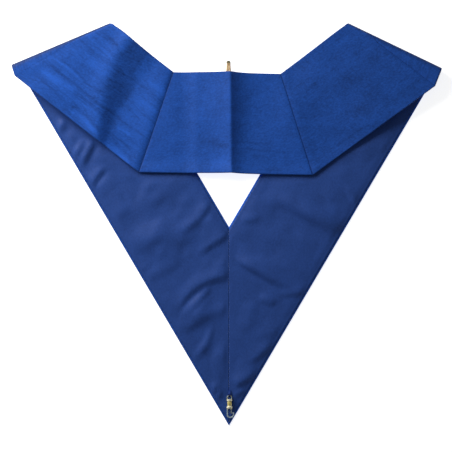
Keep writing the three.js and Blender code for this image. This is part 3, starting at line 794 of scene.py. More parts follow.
class SheetMaker:
    """Turns a cloth's middle surface into a closed sheet with a rounded rim."""

    rim_steps = 4

    def __init__(
        self, cloth: Cloth, wall: float, origin: Array, roundness: float = 0.35, hem: float = 1.0
    ) -> None:
        """Keeps what the sheet is made from.

        Args:
            cloth: the middle surface.
            wall: the sheet's thickness.
            origin: where the collar's point lies in the row's frame.
            roundness: how far the rim is rounded in, as a share of half the wall.
            hem: how thick the sheet is at its pressed edges, as a share of the wall.
        """
        self.cloth, self.origin, self.roundness = cloth, origin, roundness
        near = cloth.edge if cloth.pressed is None else cloth.pressed
        press = smoothstep(near, 0, HEM_REACH).reshape(-1, 1)
        self.half = wall / 2 * lerp(hem, 1.0, press)

    def _normals(self) -> Array:
        """Returns the surface's unit normals."""
        down, right = (np.gradient(self.cloth.points, axis=axis) for axis in (0, 1))
        return unit(np.cross(right, down))

    def _ring(self) -> Array:
        """Returns the grid indices round the sheet's boundary, in order."""
        rows, columns = self.cloth.points.shape[:2]
        index = np.arange(rows * columns).reshape(rows, columns)
        parts = index[0, :-1], index[:-1, -1], index[-1, :0:-1], index[:0:-1, 0]
        return np.concatenate(parts)

    def make(self, name: str) -> Piece:
        """Makes the sheet's object.

        Args:
            name: the object's name.

        Returns:
            The object, with a UV map in metres and the edge distance as an attribute. Faces on
            the back have material index 1.
        """
        rows, columns = self.cloth.points.shape[:2]
        count = rows * columns
        middle = self.cloth.points.reshape(-1, 3) + self.origin
        normal = self._normals().reshape(-1, 3)
        ring = self._ring()
        tangent = np.roll(middle[ring], -1, axis=0) - np.roll(middle[ring], 1, axis=0)
        out = unit(np.cross(tangent, normal[ring]))
        inner = middle.mean(axis=0)
        if np.einsum("ij,ij->i", out, middle[ring] - inner).sum() < 0:
            out = -out
        front, back = middle + normal * self.half, middle - normal * self.half
        half = self.half[ring]
        inward = out * half * self.roundness
        front[ring] -= inward
        back[ring] -= inward
        rims = []
        for step in range(1, self.rim_steps):
            angle = math.pi * (0.5 - step / self.rim_steps)
            drawn_in = inward * (1 - math.cos(angle))
            rims.append(middle[ring] - drawn_in + normal[ring] * half * math.sin(angle))
        vertices = np.concatenate([front, back, *rims])
        faces, slots = self._faces(rows, columns, ring)
        made = mesh_object(name, vertices, faces)
        made.data.set_sharp_from_angle(angle=SHARP)
        source = np.concatenate([np.arange(count), np.arange(count), *[ring] * len(rims)])
        self._store(made.data, source, slots)
        return made

    def _faces(self, rows: int, columns: int, ring: Array) -> tuple[list, Array]:
        """Returns the sheet's faces and each one's material index."""
        count, around = rows * columns, np.arange(len(ring))
        quads = grid_faces(rows, columns)
        rims = [2 * count + len(ring) * step + around for step in range(self.rim_steps - 1)]
        loops = [ring, *rims, ring + count]
        sides = []
        for upper, lower in zip(loops, loops[1:]):
            sides.append(np.stack([np.roll(upper, -1), upper, lower, np.roll(lower, -1)], axis=-1))
        sides = np.concatenate(sides)
        faces = np.concatenate([quads, quads[:, ::-1] + count, sides])
        slots = np.zeros(len(faces), int)
        slots[len(quads) : 2 * len(quads)] = 1
        return faces.tolist(), slots

    def _store(self, mesh: bpy.types.Mesh, source: Array, slots: Array) -> None:
        """Stores the UV map, the edge distance and the material indices on the mesh."""
        loops = np.empty(len(mesh.loops), int)
        mesh.loops.foreach_get("vertex_index", loops)
        places = np.stack([self.cloth.across, self.cloth.along], axis=-1).reshape(-1, 2)
        layer = mesh.uv_layers.new(name="cloth")
        layer.uv.foreach_set("vector", places[source[loops]].astype(np.float32).ravel())
        edge, figure = self.cloth.edge, self.cloth.figure
        if figure is None:
            figure = np.zeros_like(edge)
        for name, values in (("edge", edge), ("figure", figure)):
            stored = mesh.attributes.new(name, "FLOAT", "POINT")
            stored.data.foreach_set("value", values.ravel()[source].astype(np.float32))
        mesh.polygons.foreach_set("material_index", slots)


class NodeBoard:
    """A material's node tree with short calls for the nodes that the finishes use."""

    def __init__(self, name: str) -> None:
        """Makes the material with a bare shader.

        Args:
            name: the material's name.
        """
        self.material = bpy.data.materials.new(name)
        self.material.use_nodes = True
        self.tree = self.material.node_tree
        self.shader = self.tree.nodes["Principled BSDF"]

    def node(self, kind: str, **settings: object) -> bpy.types.Node:
        """Adds a node.

        Args:
            kind: the node's type name, without the ShaderNode before it.
            settings: properties to set on it.

        Returns:
            The new node.
        """
        made = self.tree.nodes.new("ShaderNode" + kind)
        for key, value in settings.items():
            setattr(made, key, value)
        return made

    def feed(self, socket: Socket, value: object) -> None:
        """Sets a socket to a value, or links it to another socket."""
        if isinstance(value, Socket):
            self.tree.links.new(value, socket)
        else:
            socket.default_value = value

    def math(self, operation: str, *values: object, clamp: bool = False) -> Socket:
        """Adds a math node and returns its output."""
        made = self.node("Math", operation=operation, use_clamp=clamp)
        for socket, value in zip(made.inputs, values):
            self.feed(socket, value)
        return made.outputs[0]

    def sine(self, value: object, turns: float = 1.0) -> Socket:
        """Returns the sine of a value that is counted in turns."""
        return self.math("SINE", self.math("MULTIPLY", value, TURN * turns))

    def total(self, base: float, *parts: tuple) -> Socket:
        """Adds parts, each a value, its middle and its strength, to a base and clamps the sum."""
        tone = 0.0
        for value, middle, strength in parts:
            tone = self.math("MULTIPLY_ADD", self.math("SUBTRACT", value, middle), strength, tone)
        return self.math("ADD", tone, base, clamp=True)

    def attribute(self, name: str) -> Socket:
        """Returns the value that the mesh stores under a name."""
        return self.node("Attribute", attribute_name=name).outputs["Fac"]

    def noise(self, place: object, detail: float = 2.0, rough: float = 0.5) -> Socket:
        """Adds a noise texture with one bump a unit and returns its value."""
        made = self.node("TexNoise")
        sockets = {"Vector": place, "Scale": 1.0, "Detail": detail, "Roughness": rough}
        for name, value in sockets.items():
            self.feed(made.inputs[name], value)
        return made.outputs["Fac"]

    def weave(
        self, across: float, along: float, shift: float, detail: float, rough: float
    ) -> Socket:
        """Returns noise on the strip with bumps of the given sizes in millimetres."""
        return self.noise(self.strip(across * MM, along * MM, shift), detail, rough)

    def strip(self, across: float, along: float, shift: float = 0.0) -> Socket:
        """Returns the place on the strip, counted in bumps of the given sizes."""
        mapping = self.node("Mapping")
        mapping.inputs["Location"].default_value = (shift, shift * 1.7, 0)
        mapping.inputs["Scale"].default_value = (1 / across, 1 / along, 1)
        self.feed(mapping.inputs["Vector"], self.node("TexCoord").outputs["UV"])
        return mapping.outputs["Vector"]

    def place(self, size: float) -> Socket:
        """Returns the place on the object, counted in bumps of one size."""
        mapping = self.node("Mapping")
        mapping.inputs["Scale"].default_value = (1 / size,) * 3
        self.feed(mapping.inputs["Vector"], self.node("TexCoord").outputs["Object"])
        return mapping.outputs["Vector"]

    def split(self, vector: Socket) -> tuple:
        """Returns the first and second coordinate of a vector."""
        made = self.node("SeparateXYZ")
        self.feed(made.inputs[0], vector)
        return made.outputs[0], made.outputs[1]

    def ramp(self, value: object, low: float, high: float, out: tuple = (0.0, 1.0)) -> Socket:
        """Returns a value mapped smoothly from one range to another."""
        made = self.node("MapRange", interpolation_type="SMOOTHSTEP")
        for socket, number in zip(made.inputs, (value, low, high, *out)):
            self.feed(socket, number)
        return made.outputs[0]

    def blend(self, share: object, first: object, second: object) -> Socket:
        """Returns a mix of two colours, each a socket or a value."""
        made = self.node("Mix", data_type="RGBA")
        self.feed(made.inputs["Factor"], share)
        self.feed(made.inputs["A"], first)
        self.feed(made.inputs["B"], second)
        return made.outputs["Result"]

    def relief(self, *layers: tuple) -> Socket:
        """Lays bumps over each other, each a value, a strength and a depth in millimetres."""
        normal = None
        for height, strength, depth in layers:
            made = self.node("Bump")
            sockets = {"Strength": strength, "Distance": depth * MM, "Height": height}
            for name, value in sockets.items():
                self.feed(made.inputs[name], value)
            if normal is not None:
                self.feed(made.inputs["Normal"], normal)
            normal = made.outputs[0]
        return normal

    def finish(self, **sockets: object) -> Material:
        """Sets or links the shader's sockets and returns the material."""
        for name, value in sockets.items():
            self.feed(self.shader.inputs[name.replace("_", " ")], value)
        return self.material


@dataclass(frozen=True)
class MoireRibbon:
    """Watered ribbon: fine ribs across it, a wavy figure along it, and painted shade on its edges
    and its deepest fold turns.

    Attributes:
        name: the material's name.
        ground: its colour.
        figure: how strongly the watered figure shows, from 0 to 1.
        shift: moves the figure, so that no two strips match.
        wear_and_edge_shade: how dark the painted shade makes its edges, from 0 to 1.
        line_pitch: distance between the figure's lines.
        rib_pitch: distance between its ribs.
    """

    name: str
    ground: Colour
    figure: float
    shift: float = 0.0
    wear_and_edge_shade: float = 0.5
    line_pitch: float = 13 * MM
    rib_pitch: float = 0.55 * MM

    def material(self) -> Material:
        """Returns the material."""
        board, shift = NodeBoard(self.name), self.shift
        # The stored tone: the watered figure, with painted light and shade added on rims, folds and
        # panels.
        figure_and_painted_tone = board.attribute("figure")
        warp = board.weave(26, 90, shift, 3, 0.55)
        across = board.split(board.strip(self.line_pitch, 1.0, shift))[0]
        phase = board.math("MULTIPLY_ADD", warp, 4.0, across)
        patches = board.weave(24, 46, shift + 3, 2, 0.5)
        blots = board.weave(4.5, 7, shift + 11, 2, 0.6)
        mottle = board.weave(14, 19, shift + 7, 3, 0.6)
        grain = board.weave(1.6, 2.4, shift, 3, 0.7)
        lines = board.ramp(board.sine(phase), 0.55, 1.0)
        lines = board.math("MULTIPLY", lines, board.ramp(patches, 0.45, 0.68))
        fine = board.ramp(board.sine(phase, 2.6), 0.0, 1.0)
        fine = board.math("MULTIPLY", fine, board.ramp(patches, 0.62, 0.4))
        share = board.total(
            0.5, (lines, 0.0, -0.26 * self.figure), (fine, 0.0, -0.2 * self.figure),
            (blots, 0.5, 0.4), (figure_and_painted_tone, 0.0, 0.55), (mottle, 0.5, 0.5), (grain, 0.5, 1.1),
        )
        ground = board.blend(share, shade(self.ground, 0.5), shade(self.ground, 1.5))
        # Painted shade: where the stored tone falls below -0.8, on the steep turn of a fold, the
        # ribbon darkens to a fifth of its colour.
        ground = board.blend(board.ramp(figure_and_painted_tone, -0.8, -1.6), ground, shade(self.ground, 0.2))
        # Painted shade along the edges, the raised seams and the fold's turn.
        wear_and_edge_shade = board.ramp(board.attribute("edge"), 0.0, EDGE_SHADE_REACH, (self.wear_and_edge_shade, 0.0))
        ground = board.blend(wear_and_edge_shade, ground, shade(self.ground, 0.35))
        rib = board.sine(board.split(board.strip(1.0, self.rib_pitch))[1])
        return board.finish(
            Base_Color=ground, Roughness=0.55,
            Normal=board.relief((rib, 0.2, 0.04), (grain, 0.35, 0.14), (mottle, 0.4, 0.5)),
            Specular_IOR_Level=0.16, Sheen_Weight=0.03, Sheen_Roughness=0.5,
        )


@dataclass(frozen=True)
class SatinLining:
    """Thin satin with a soft gloss, fine threads and painted shade along its edges.

    Attributes:
        name: the material's name.
        ground: its colour.
    """

    name: str
    ground: Colour

    def material(self) -> Material:
        """Returns the material."""
        board = NodeBoard(self.name)
        threads = board.weave(0.6, 7, 0, 3, 0.6)
        grain = board.weave(1.7, 2.3, 0, 3, 0.7)
        soft = board.weave(16, 22, 5, 3, 0.55)
        share = board.total(0.5, (threads, 0.5, 0.25), (grain, 0.5, 0.9), (soft, 0.5, 0.4))
        ground = board.blend(share, shade(self.ground, 0.6), shade(self.ground, 1.4))
        # Painted shade: the lining darkens within 1.8 mm of its edges.
        pressed = board.ramp(board.attribute("edge"), 0.0, 1.8 * MM, (0.2, 0.0))
        ground = board.blend(pressed, ground, shade(self.ground, 0.4))
        return board.finish(
            Base_Color=ground, Roughness=0.52,
            Normal=board.relief((threads, 0.2, 0.05), (grain, 0.3, 0.12), (soft, 0.5, 0.6)),
            Specular_IOR_Level=0.22, Sheen_Weight=0.03, Sheen_Roughness=0.4,
        )


@dataclass(frozen=True)
class GiltMetal:
    """Gilded brass with darker rubbed patches at random, a painted highlight on some parts and grey
    on others.

    Attributes:
        name: the material's name.
        ground: its colour.
        rough: its roughness where it is brightest.
        pale: the colour of the painted highlight.
        dull: the grey colour.
    """

    name: str
    ground: Colour
    rough: float
    pale: Colour = GILT_HIGHLIGHT
    dull: Colour = GILT_DULL

    def material(self) -> Material:
        """Returns the material."""
        board = NodeBoard(self.name)
        wear = board.noise(board.place(1.3 * MM), 4, 0.6)
        grain = board.noise(board.place(0.18 * MM), 2, 0.5)
        # Per point, 1 lays on the painted highlight and -1 the grey.
        highlight_and_grey = board.attribute("highlight_and_grey")
        ground = board.blend(board.ramp(highlight_and_grey, 0.0, 1.0), self.ground, self.pale)
        ground = board.blend(board.ramp(highlight_and_grey, 0.0, -1.0), ground, self.dull)
        # Darker rubbed patches at random.
        wear_and_edge_shade = board.ramp(wear, 0.4, 0.75, (0.0, 0.3))
        ground = board.blend(wear_and_edge_shade, ground, shade(self.ground, 0.45))
        rough = board.ramp(wear, 0.3, 0.75, (self.rough, self.rough + 0.18))
        normal = board.relief((grain, 0.12, 0.02))
        return board.finish(Base_Color=ground, Roughness=rough, Normal=normal, Metallic=0.45)


@dataclass(frozen=True)
class Thread:
    """Spun thread or cord, with fibres along it.

    Attributes:
        name: the material's name.
        ground: its colour.
        shade: the colour that its hollows and soiled places lean to.
        sheen: the strength of its silky sheen.
    """

    name: str
    ground: Colour
    shade: Colour
    sheen: float

    def material(self) -> Material:
        """Returns the material."""
        board = NodeBoard(self.name)
        fibres = board.noise(board.place(0.16 * MM), 3, 0.6)
        soil = board.noise(board.place(2.6 * MM), 2, 0.5)
        share = board.math("MULTIPLY_ADD", soil, 0.6, board.math("MULTIPLY", fibres, 0.5))
        ground = board.blend(board.ramp(share, 0.4, 0.78), self.ground, self.shade)
        rough = board.ramp(fibres, 0.2, 0.8, (0.45, 0.65))
        return board.finish(
            Base_Color=ground, Roughness=rough, Normal=board.relief((fibres, 0.5, 0.04)),
            Specular_IOR_Level=0.15, Sheen_Weight=self.sheen, Sheen_Roughness=0.4,
        )


@dataclass(frozen=True)
class PaleFloor:
    """A plain pale surface with barely visible mottling.

    Attributes:
        name: the material's name.
        bump: the size of its mottling.
        low, high: its two colours.
    """

    name: str = "pale_floor"
    bump: float = 90 * MM
    low: Colour = (0.86, 0.86, 0.86, 1)
    high: Colour = (0.9, 0.9, 0.9, 1)

    def material(self) -> Material:
        """Returns the material."""
        board = NodeBoard(self.name)
        soft = board.noise(board.place(self.bump), 3, 0.5)
        ground = board.blend(board.ramp(soft, 0.3, 0.7), self.low, self.high)
        return board.finish(
            Base_Color=ground, Roughness=0.7, Specular_IOR_Level=0.2,
            Emission_Color=(1, 1, 1, 1), Emission_Strength=0.8,
        )


def dress(piece: Piece, *materials: Material) -> None:
    """Gives a piece its materials, in slot order."""
    piece.data.materials.clear()
    for material in materials:
        piece.data.materials.append(material)


def place_piece(piece: Piece, body: str, slot: str, *nodes: str) -> Piece:
    """Lets a piece ride on a body and hides the nodes that it stands for.

    Args:
        piece: the piece.
        body: the body that it moves with.
        slot: not used.
        nodes: the solids that it stands for.

    Returns:
        The piece.
    """
    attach(piece, body)
    if nodes:
        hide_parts(*nodes)
    LOG.info("%s: %d faces on %s", piece.name, len(piece.data.polygons), body)
    return piece


@dataclass
class FrontLimb:
    """One front limb: its ribbon folded over the shoulder, and the lining sewn on it."""

    sizes: CollarSizes
    side: Side
    origin: Array
    flat_rows: int = 150
    bend_rows: int = 18
    over_rows: int = 14
    ribbon_columns: int = 56
    lining_columns: int = 64
    stitch_pitch: float = 5.5 * MM
    stitch_radius: float = 0.14 * MM
    pucker_height: float = 0.5 * MM
    pucker_reach: float = 6 * MM
    pucker_size: tuple[float, float] = (5, 26)
    ripple_size: tuple[float, float] = (17, 23)
    crinkle_size: tuple[float, float] = (8, 12)
    crinkle_share: float = 0.45
    loose_from: float = 1 * MM
    loose_band: float = 12 * MM
    loose_edge: float = 10 * MM
    hem: float = 0.5
    turn_reach: float = 4 * MM
    figure_shift: float = 2.0
    noise: SoftNoise = field(init=False)

    def __post_init__(self) -> None:
        """Works out the plan and seeds the small unevenness."""
        self.plan = SidePlan(self.sizes, self.side)
        self.noise = SoftNoise(Seed.LIMB + self.side.value)

    def _points(self, layer: Layer) -> tuple[Array, Array, Array]:
        """Places the grid of one layer, from the centre seam over the flat and round the fold.

        Args:
            layer: the ribbon or the lining.

        Returns:
            The points, where each column starts along the limb and its radius in the fold.
        """
        sizes, plan, own = self.sizes, self.plan, self.plan.own
        inset, hem, columns = 0.0, 0.0, self.ribbon_columns
        if layer is Layer.LINING:
            inset, hem, columns = sizes.lining_step, sizes.lining_inset, self.lining_columns
        v = np.linspace(0, 1, columns + 1)
        trim, seam_trim = hem / math.cos(own.fold_skew), hem / math.sin(sizes.point_half_angle)
        a = lerp(trim, plan.fold_length - trim, v)
        centre = lerp(plan.crotch[1] - seam_trim, seam_trim, v)
        start = np.stack([np.full_like(v, sizes.seam_gap / 2), centre], -1)
        level = np.full((len(v), 1), sizes.ribbon_wall / 2 + inset)
        flare, radius = own.fold_flare * a / plan.fold_length, plan.fold_radius(a)
        below = lambda reach, share: a - flare * (1 - share) - reach * math.tan(own.fold_skew)
        end = plan.folded(below(radius, 0), -radius * math.pi / 2, inset)[:, :2]
        seam = plan.seam_outer * (a / plan.fold_length)[:, None]
        seam_past = np.maximum(sizes.seam_past_fold, seam[:, 1]) - sizes.seam_gap / 2
        rows = []
        for share in np.linspace(0, 1, self.flat_rows):
            rows.append(np.concatenate([lerp(start, end, share), level], -1))
        for step in range(1, self.bend_rows + 1):
            share = step / self.bend_rows
            angle = -math.pi / 2 * (1 - share)
            place = below(radius * (1 - math.cos(angle)), share)
            rows.append(plan.folded(place, radius * angle, inset))
        for step in range(1, self.over_rows + 1):
            share = step / self.over_rows
            rows.append(plan.folded(lerp(a, seam[:, 0], share), seam_past * share, inset))
        return np.stack(rows), start @ plan.up, radius

    def _cloth(self, layer: Layer) -> Cloth:
        """Works out the middle surface of one layer.

        Args:
            layer: the ribbon or the lining.

        Returns:
            The surface, loosened where it is the lining and toned where it is the ribbon.
        """
        points, start, radius = self._points(layer)
        seams, width = self.plan.own.seams, self.sizes.ribbon_width
        v, run = np.linspace(0, 1, points.shape[1]), run_length(points)
        across = np.broadcast_to(v * width, run.shape).copy()
        side_edge = np.broadcast_to(np.minimum(v, 1 - v) * width, run.shape)
        left = run_length(points[::-1])[::-1] + seams.hidden(seams.first_rise)
        edge = np.minimum(side_edge, np.minimum(run, left))
        cloth = Cloth(points, across, run + start, edge)
        if layer is Layer.LINING:
            self._loosen(cloth, side_edge)
        else:
            self._turn(cloth, radius)
        cloth.points[..., 0] *= self.side.value
        return cloth

    def _turn(self, cloth: Cloth, radius: Array) -> None:
        """Paints shade on the ribbon along the outermost line of its fold, a painted tone on what
        is past it, and painted light on its rim round the lining.
        """
        turned = cloth.points[self.flat_rows + self.bend_rows - 1]
        off = np.linalg.norm(cloth.points - turned, axis=-1)
        own = self.plan.own
        steep = near_turn(off, radius)
        cloth.figure = lerp(own.fold_painted_tone, own.turn_painted_shade, steep)
        cloth.figure[: self.flat_rows] = own.rim_painted_light
        # The painted edge shade also darkens the steep part of the turn.
        level = (1 - steep) * self.turn_reach
        cloth.edge = np.where(steep > 0, np.minimum(cloth.edge, level), cloth.edge)

    def _loosen(self, cloth: Cloth, side_edge: Array) -> None:
        """Raises the flat part of the lining into its folds, puckers and ripples."""
        flat, side = cloth.points[: self.flat_rows], side_edge[: self.flat_rows]
        place = cloth.along[: self.flat_rows], cloth.across[: self.flat_rows]
        x, y = flat[..., 0], flat[..., 1]
        edge, near = np.minimum(side, x * 1.5), np.minimum(side, x)
        rise = self.plan.lining_rise(x, y, edge)
        pucker = self.noise.bumps(*place, self.pucker_size) * np.exp(-near / self.pucker_reach)
        pucker = pucker * smoothstep(near, 0.3 * MM, 3 * MM) * self.pucker_height
        crinkle = self.noise.bumps(*place, self.crinkle_size, (21, 2))
        ripple = self.noise.bumps(*place, self.ripple_size, (9, 5)) + self.crinkle_share * crinkle
        free = smoothstep(self.plan.outside_band(x, y), self.loose_from, self.loose_band)
        free = free * smoothstep(edge, self.loose_from, self.loose_edge)
        flat[..., 2] += np.maximum(rise + (ripple * self.plan.own.ripple + pucker) * free, 0)
        cloth.pressed = side_edge
        press = 1 - smoothstep(side, 0, HEM_REACH)
        thinner = self.sizes.lining_wall / 2 * (1 - self.hem)
        flat[..., 2] -= press * (self.sizes.layer_gap * 0.5 + thinner)

    def _name(self, layer: Layer) -> str:
        """Returns the name of the limb's solid of that layer."""
        return f"{self.side.name.lower()}_{layer.value}"

    def build_ribbon(self) -> Piece:
        """Makes the limb's ribbon, which shows round the lining and over the fold."""
        cloth = self._cloth(Layer.RIBBON)
        maker = SheetMaker(cloth, self.sizes.ribbon_wall, self.origin, self.plan.own.seam_round)
        own, name = self.plan.own, self.side.name.lower()
        sheet, shift = maker.make("ribbon_" + name), self.figure_shift + self.side.value
        finish = MoireRibbon(
            "moire_front_" + name, RIBBON_BLUE, own.front_figure, shift, own.front_edge_shade
        )
        moire = finish.material()
        dress(sheet, moire, moire)
        place_piece(sheet, "root", "moire_ribbon", self._name(Layer.RIBBON))
        self._declare(sheet, cloth, 0.0)
        return sheet

    def build_lining(self, satin: Material) -> Piece:
        """Makes the limb's lining with its folds, and the stitches along its edges."""
        cloth = self._cloth(Layer.LINING)
        maker = SheetMaker(cloth, self.sizes.lining_wall, self.origin, hem=self.hem)
        sheet = maker.make("lining_" + self.side.name.lower())
        dress(sheet, satin, satin)
        place_piece(sheet, "root", "satin_lining", self._name(Layer.LINING))
        stitches = self._stitches(cloth)
        dress(stitches, Thread("hem_thread", LINING_BLUE, TAB_BLUE, 0.0).material())
        place_piece(stitches, "root", "satin_lining")
        self._declare(sheet, cloth, self.sizes.lining_inset)
        return sheet

    def _declare(self, sheet: Piece, cloth: Cloth, hem: float) -> None:
        """Works out the area of the cloth's middle surface and keeps nothing of it."""
        surface_area(cloth.points)

    def _stitches(self, cloth: Cloth) -> Piece:
        """Makes the slip stitches that hold the lining's two long edges to the ribbon."""
        parts, rows = [], self.flat_rows
        lift = self.sizes.lining_wall / 2 * self.hem
        top, drop = UP * lift, -UP * (self.sizes.layer_gap + lift)
        bends = ((-0.9, top * 0.9), (-0.35, top * 1.25), (0.12, top * 0.7), (0.6, drop * 0.96))
        for column, inward in ((0, 1), (-1, -1)):
            line = cloth.points[:rows, column] + self.origin
            inner = cloth.points[:rows, column + 2 * inward] + self.origin
            run = path_length(line)
            places = np.arange(self.stitch_pitch, run[-1] - self.stitch_pitch, self.stitch_pitch)
            at = lambda points, where: np.stack([np.interp(where, run, c) for c in points.T], -1)
            base, inside = at(line, places), at(inner, places + 1.0 * MM)
            out = unit((base - inside) * np.array([1, 1, 0]))
            for edge, away in zip(base, out):
                bend = [edge + away * reach * MM + rise for reach, rise in bends]
                parts.append(tube(np.array(bend), self.stitch_radius, 6))
        return joined("stitches_" + self.side.name.lower(), parts)


@dataclass
class Band:
    """The band over the back of the neck: two shoulder panels and the neck panel.

    The neck's looks are its watered figure, where that starts, and how round its rims are.
    """

    sizes: CollarSizes
    origin: Array
    panel_rows: int = 180
    columns: int = 112
    neck_rows: int = 150
    row_crowding: float = 1.25
    crease_crowding: float = 1.35
    ripple_height: float = 0.5 * MM
    neck_ripple: float = 0.25 * MM
    ripple_fade: float = 14 * MM
    ripple_side: float = 6 * MM
    wave_height: float = 0.2 * MM
    wave_reach: float = 7 * MM
    wave_start: float = 3 * MM
    curl_height: float = 1.3 * MM
    curl_reach: float = 9 * MM
    neck_looks: tuple[float, float, float] = (0.2, 5.0, 0.35)
    neck_seams: Seams = Seams(0.1 * MM, 4.0 * MM, 0.5 * MM, 4.0 * MM)
    neck_streaks: tuple[Streak, ...] = streak_table(
        (0.3, 0.46, 0.68, 0.0, 5, -0.35), (0.42, 0.52, 0.74, 0.0, 3, -0.4),
        (0.62, 0.9, 0.76, 0.01, 1.4, -0.4), (0.55, 0.8, 0.68, -0.01, 1.4, -0.3),
        (0.05, 0.4, 0.3, 0.02, 2.0, -0.2), (0.4, 0.53, 0.9, 0.0, 10, 0.45),
        (0.1, 0.3, 0.5, 0.0, 8, -0.2),
    )

    def _swell(self, cloth: Cloth, seams: Seams, curled: Array | float = 1.0) -> None:
        """Swells the cloth beside its two seams and draws it a little uneven there."""
        left = cloth.along[-1:] - cloth.along
        first = seams.swell(cloth.along, seams.first_rise, seams.first_reach)
        last = seams.swell(left, seams.last_rise, seams.last_reach)
        ends = np.minimum(cloth.along, left)
        wave = SoftNoise(Seed.WAVE).bumps(cloth.across, cloth.along, (9, 40)) * self.wave_height
        uneven = wave * np.exp(-ends / self.wave_reach) * smoothstep(ends, 0, self.wave_start)
        below = self.sizes.ribbon_width - cloth.across
        curl = self.curl_height * np.exp(-((below / self.curl_reach) ** 2))
        cloth.points[..., 2] += uneven + first + last + curl * curled

    def _panel(self, points: Array, v: Array, hidden: float = 0.0) -> tuple[Cloth, Array, Array]:
        """Measures a panel.

        Args:
            points: its middle surface.
            v: shares of its width.
            hidden: how far from a dark edge its first seam passes for.

        Returns:
            The cloth, and each point's distances from the panel's ends and from its sides.
        """
        width, run = self.sizes.ribbon_width, run_length(points)
        across, left = np.broadcast_to(v * width, run.shape).copy(), run[-1:] - run
        sides = np.minimum(across, width - across)
        edge = np.minimum(np.minimum(run + hidden, left), sides)
        return Cloth(points, across, run, edge), np.minimum(run, left), sides

    def _shoulder(self, side: Side) -> Cloth:
        """Works out the middle surface of a shoulder panel."""
        sizes, plan = self.sizes, SidePlan(self.sizes, side)
        own = plan.own
        u = (np.linspace(0, 1, self.panel_rows) ** self.row_crowding)[:, None, None]
        v = np.linspace(0, 1, self.columns)[None, :, None]
        seam = plan.seam_outer * v
        seam = np.concatenate([seam[..., :1], np.maximum(sizes.seam_past_fold, seam[..., 1:])], -1)
        seam = seam + np.array([0, sizes.seam_gap / 2])
        neck = lerp(plan.flat_of_upper(plan.neck_top), plan.flat_of_upper(plan.neck_foot), v)
        length = np.linalg.norm(neck - seam, axis=-1, keepdims=True)
        flat = lerp(seam, neck, u * (1 - sizes.seam_gap / 2 / length))
        u, v = u[..., 0], v[..., 0]
        way = u / sizes.edge_bow_share
        bulge = own.edge_bow * way * np.exp(1 - way) * (1 - v) ** 2
        points = plan.folded(flat[..., 0] - bulge, flat[..., 1])
        rest = band_rest(sizes, points[..., 0], points[..., 1])
        lost, swell = own.slope.at(u, v)
        points[..., 2] = lerp(points[..., 2], rest, lost) + swell
        cloth, ends, sides = self._panel(points, v, own.seams.hidden(own.seams.first_rise))
        ripple = SoftNoise(Seed.PANEL + side.value).bumps(cloth.along, cloth.across, (34, 30))
        free = smoothstep(np.minimum(ends, sides + self.ripple_side), 0, self.ripple_fade)
        points[..., 2] += ripple * self.ripple_height * free
        cloth.draw(own.streaks, sizes.ribbon_width, Seed.PANEL_STREAKS + side.value)
        # Painted tone over the whole panel, light on the left and shade on the right, and painted
        # shade on the steep part of its turn.
        steep = near_turn(cloth.along + flat[:1, :, 1], plan.fold_radius(flat[..., 0]))
        cloth.figure += lerp(own.tone, own.turn_painted_shade, steep)
        self._swell(cloth, own.seams, smoothstep(u, 0.5, 1.0))
        cloth.points[..., 0] *= side.value
        return cloth

    @cached_property
    def neck(self) -> Cloth:
        """The middle surface of the neck panel, with its centre crease."""
        sizes = self.sizes
        left, right = (SidePlan(sizes, side) for side in Side)
        t = np.linspace(-1, 1, self.neck_rows)
        reach = np.where(t < 0, sizes.crease_share, 1 - sizes.crease_share)
        u = sizes.crease_share + np.sign(t) * reach * np.abs(t) ** self.crease_crowding
        u = u[:, None, None]
        v = np.linspace(0, 1, self.columns)[None, :, None]
        gap = np.array([sizes.seam_gap / 2, 0])
        start = lerp(left.neck_top, left.neck_foot, v) * np.array([-1, 1]) + gap
        end = lerp(right.neck_top, right.neck_foot, v) - gap
        flat, v = lerp(start, end, u), v[..., 0]
        rise = self._crease((u - sizes.crease_share)[..., 0] * (end - start)[..., 0], v)
        x, y = flat[..., 0], flat[..., 1] + sizes.crease_pull * rise / sizes.crease_height_top
        points = np.stack([x, y, band_rest(sizes, x, y) + rise], -1)
        cloth, ends, _ = self._panel(points, v)
        ripple = SoftNoise(Seed.NECK).bumps(cloth.along, cloth.across, (30, 34))
        points[..., 2] += (ripple + 1) * self.neck_ripple * smoothstep(ends, 0, self.ripple_fade)
        cloth.draw(self.neck_streaks, sizes.ribbon_width, Seed.NECK_STREAKS)
        self._swell(cloth, self.neck_seams)
        return cloth

    def _crease(self, distance: Array, v: Array) -> Array:
        """Returns the rise of the centre crease at signed distances from it."""
        sizes = self.sizes
        soft = np.hypot(distance, sizes.crease_round) - sizes.crease_round
        fall = np.where(distance < 0, sizes.crease_fall_left, sizes.crease_fall_right)
        share = np.abs(distance) / sizes.neck_top_width
        fade = 1 - smoothstep(share, sizes.crease_fade_start, sizes.crease_fade_end)
        height = lerp(sizes.crease_height_top, sizes.crease_height_foot, v)
        return height * np.exp(-soft / fall) * fade

    def build(self, satin: Material) -> list[Piece]:
        """Makes the band's three panels, with satin on their hidden side.

        Args:
            satin: the lining's material.

        Returns:
            The three sheets.
        """
        looks = {"neck_panel": (self.neck, *self.neck_looks)}
        for side in Side:
            own = SHOULDERS[side]
            look = (self._shoulder(side), own.panel_figure, own.panel_shift, own.seam_round)
            looks[side.name.lower() + "_shoulder_panel"] = look
        made = []
        for node, (cloth, figure, shift, roundness) in looks.items():
            maker = SheetMaker(cloth, self.sizes.ribbon_wall, self.origin, roundness)
            sheet = maker.make("band_" + node)
            finish = MoireRibbon("moire_" + node, RIBBON_BLUE, figure, shift)
            dress(sheet, finish.material(), satin)
            place_piece(sheet, "root", "moire_ribbon", node)
            float(np.ptp(cloth.along))
            surface_area(cloth.points)
            made.append(sheet)
        return made

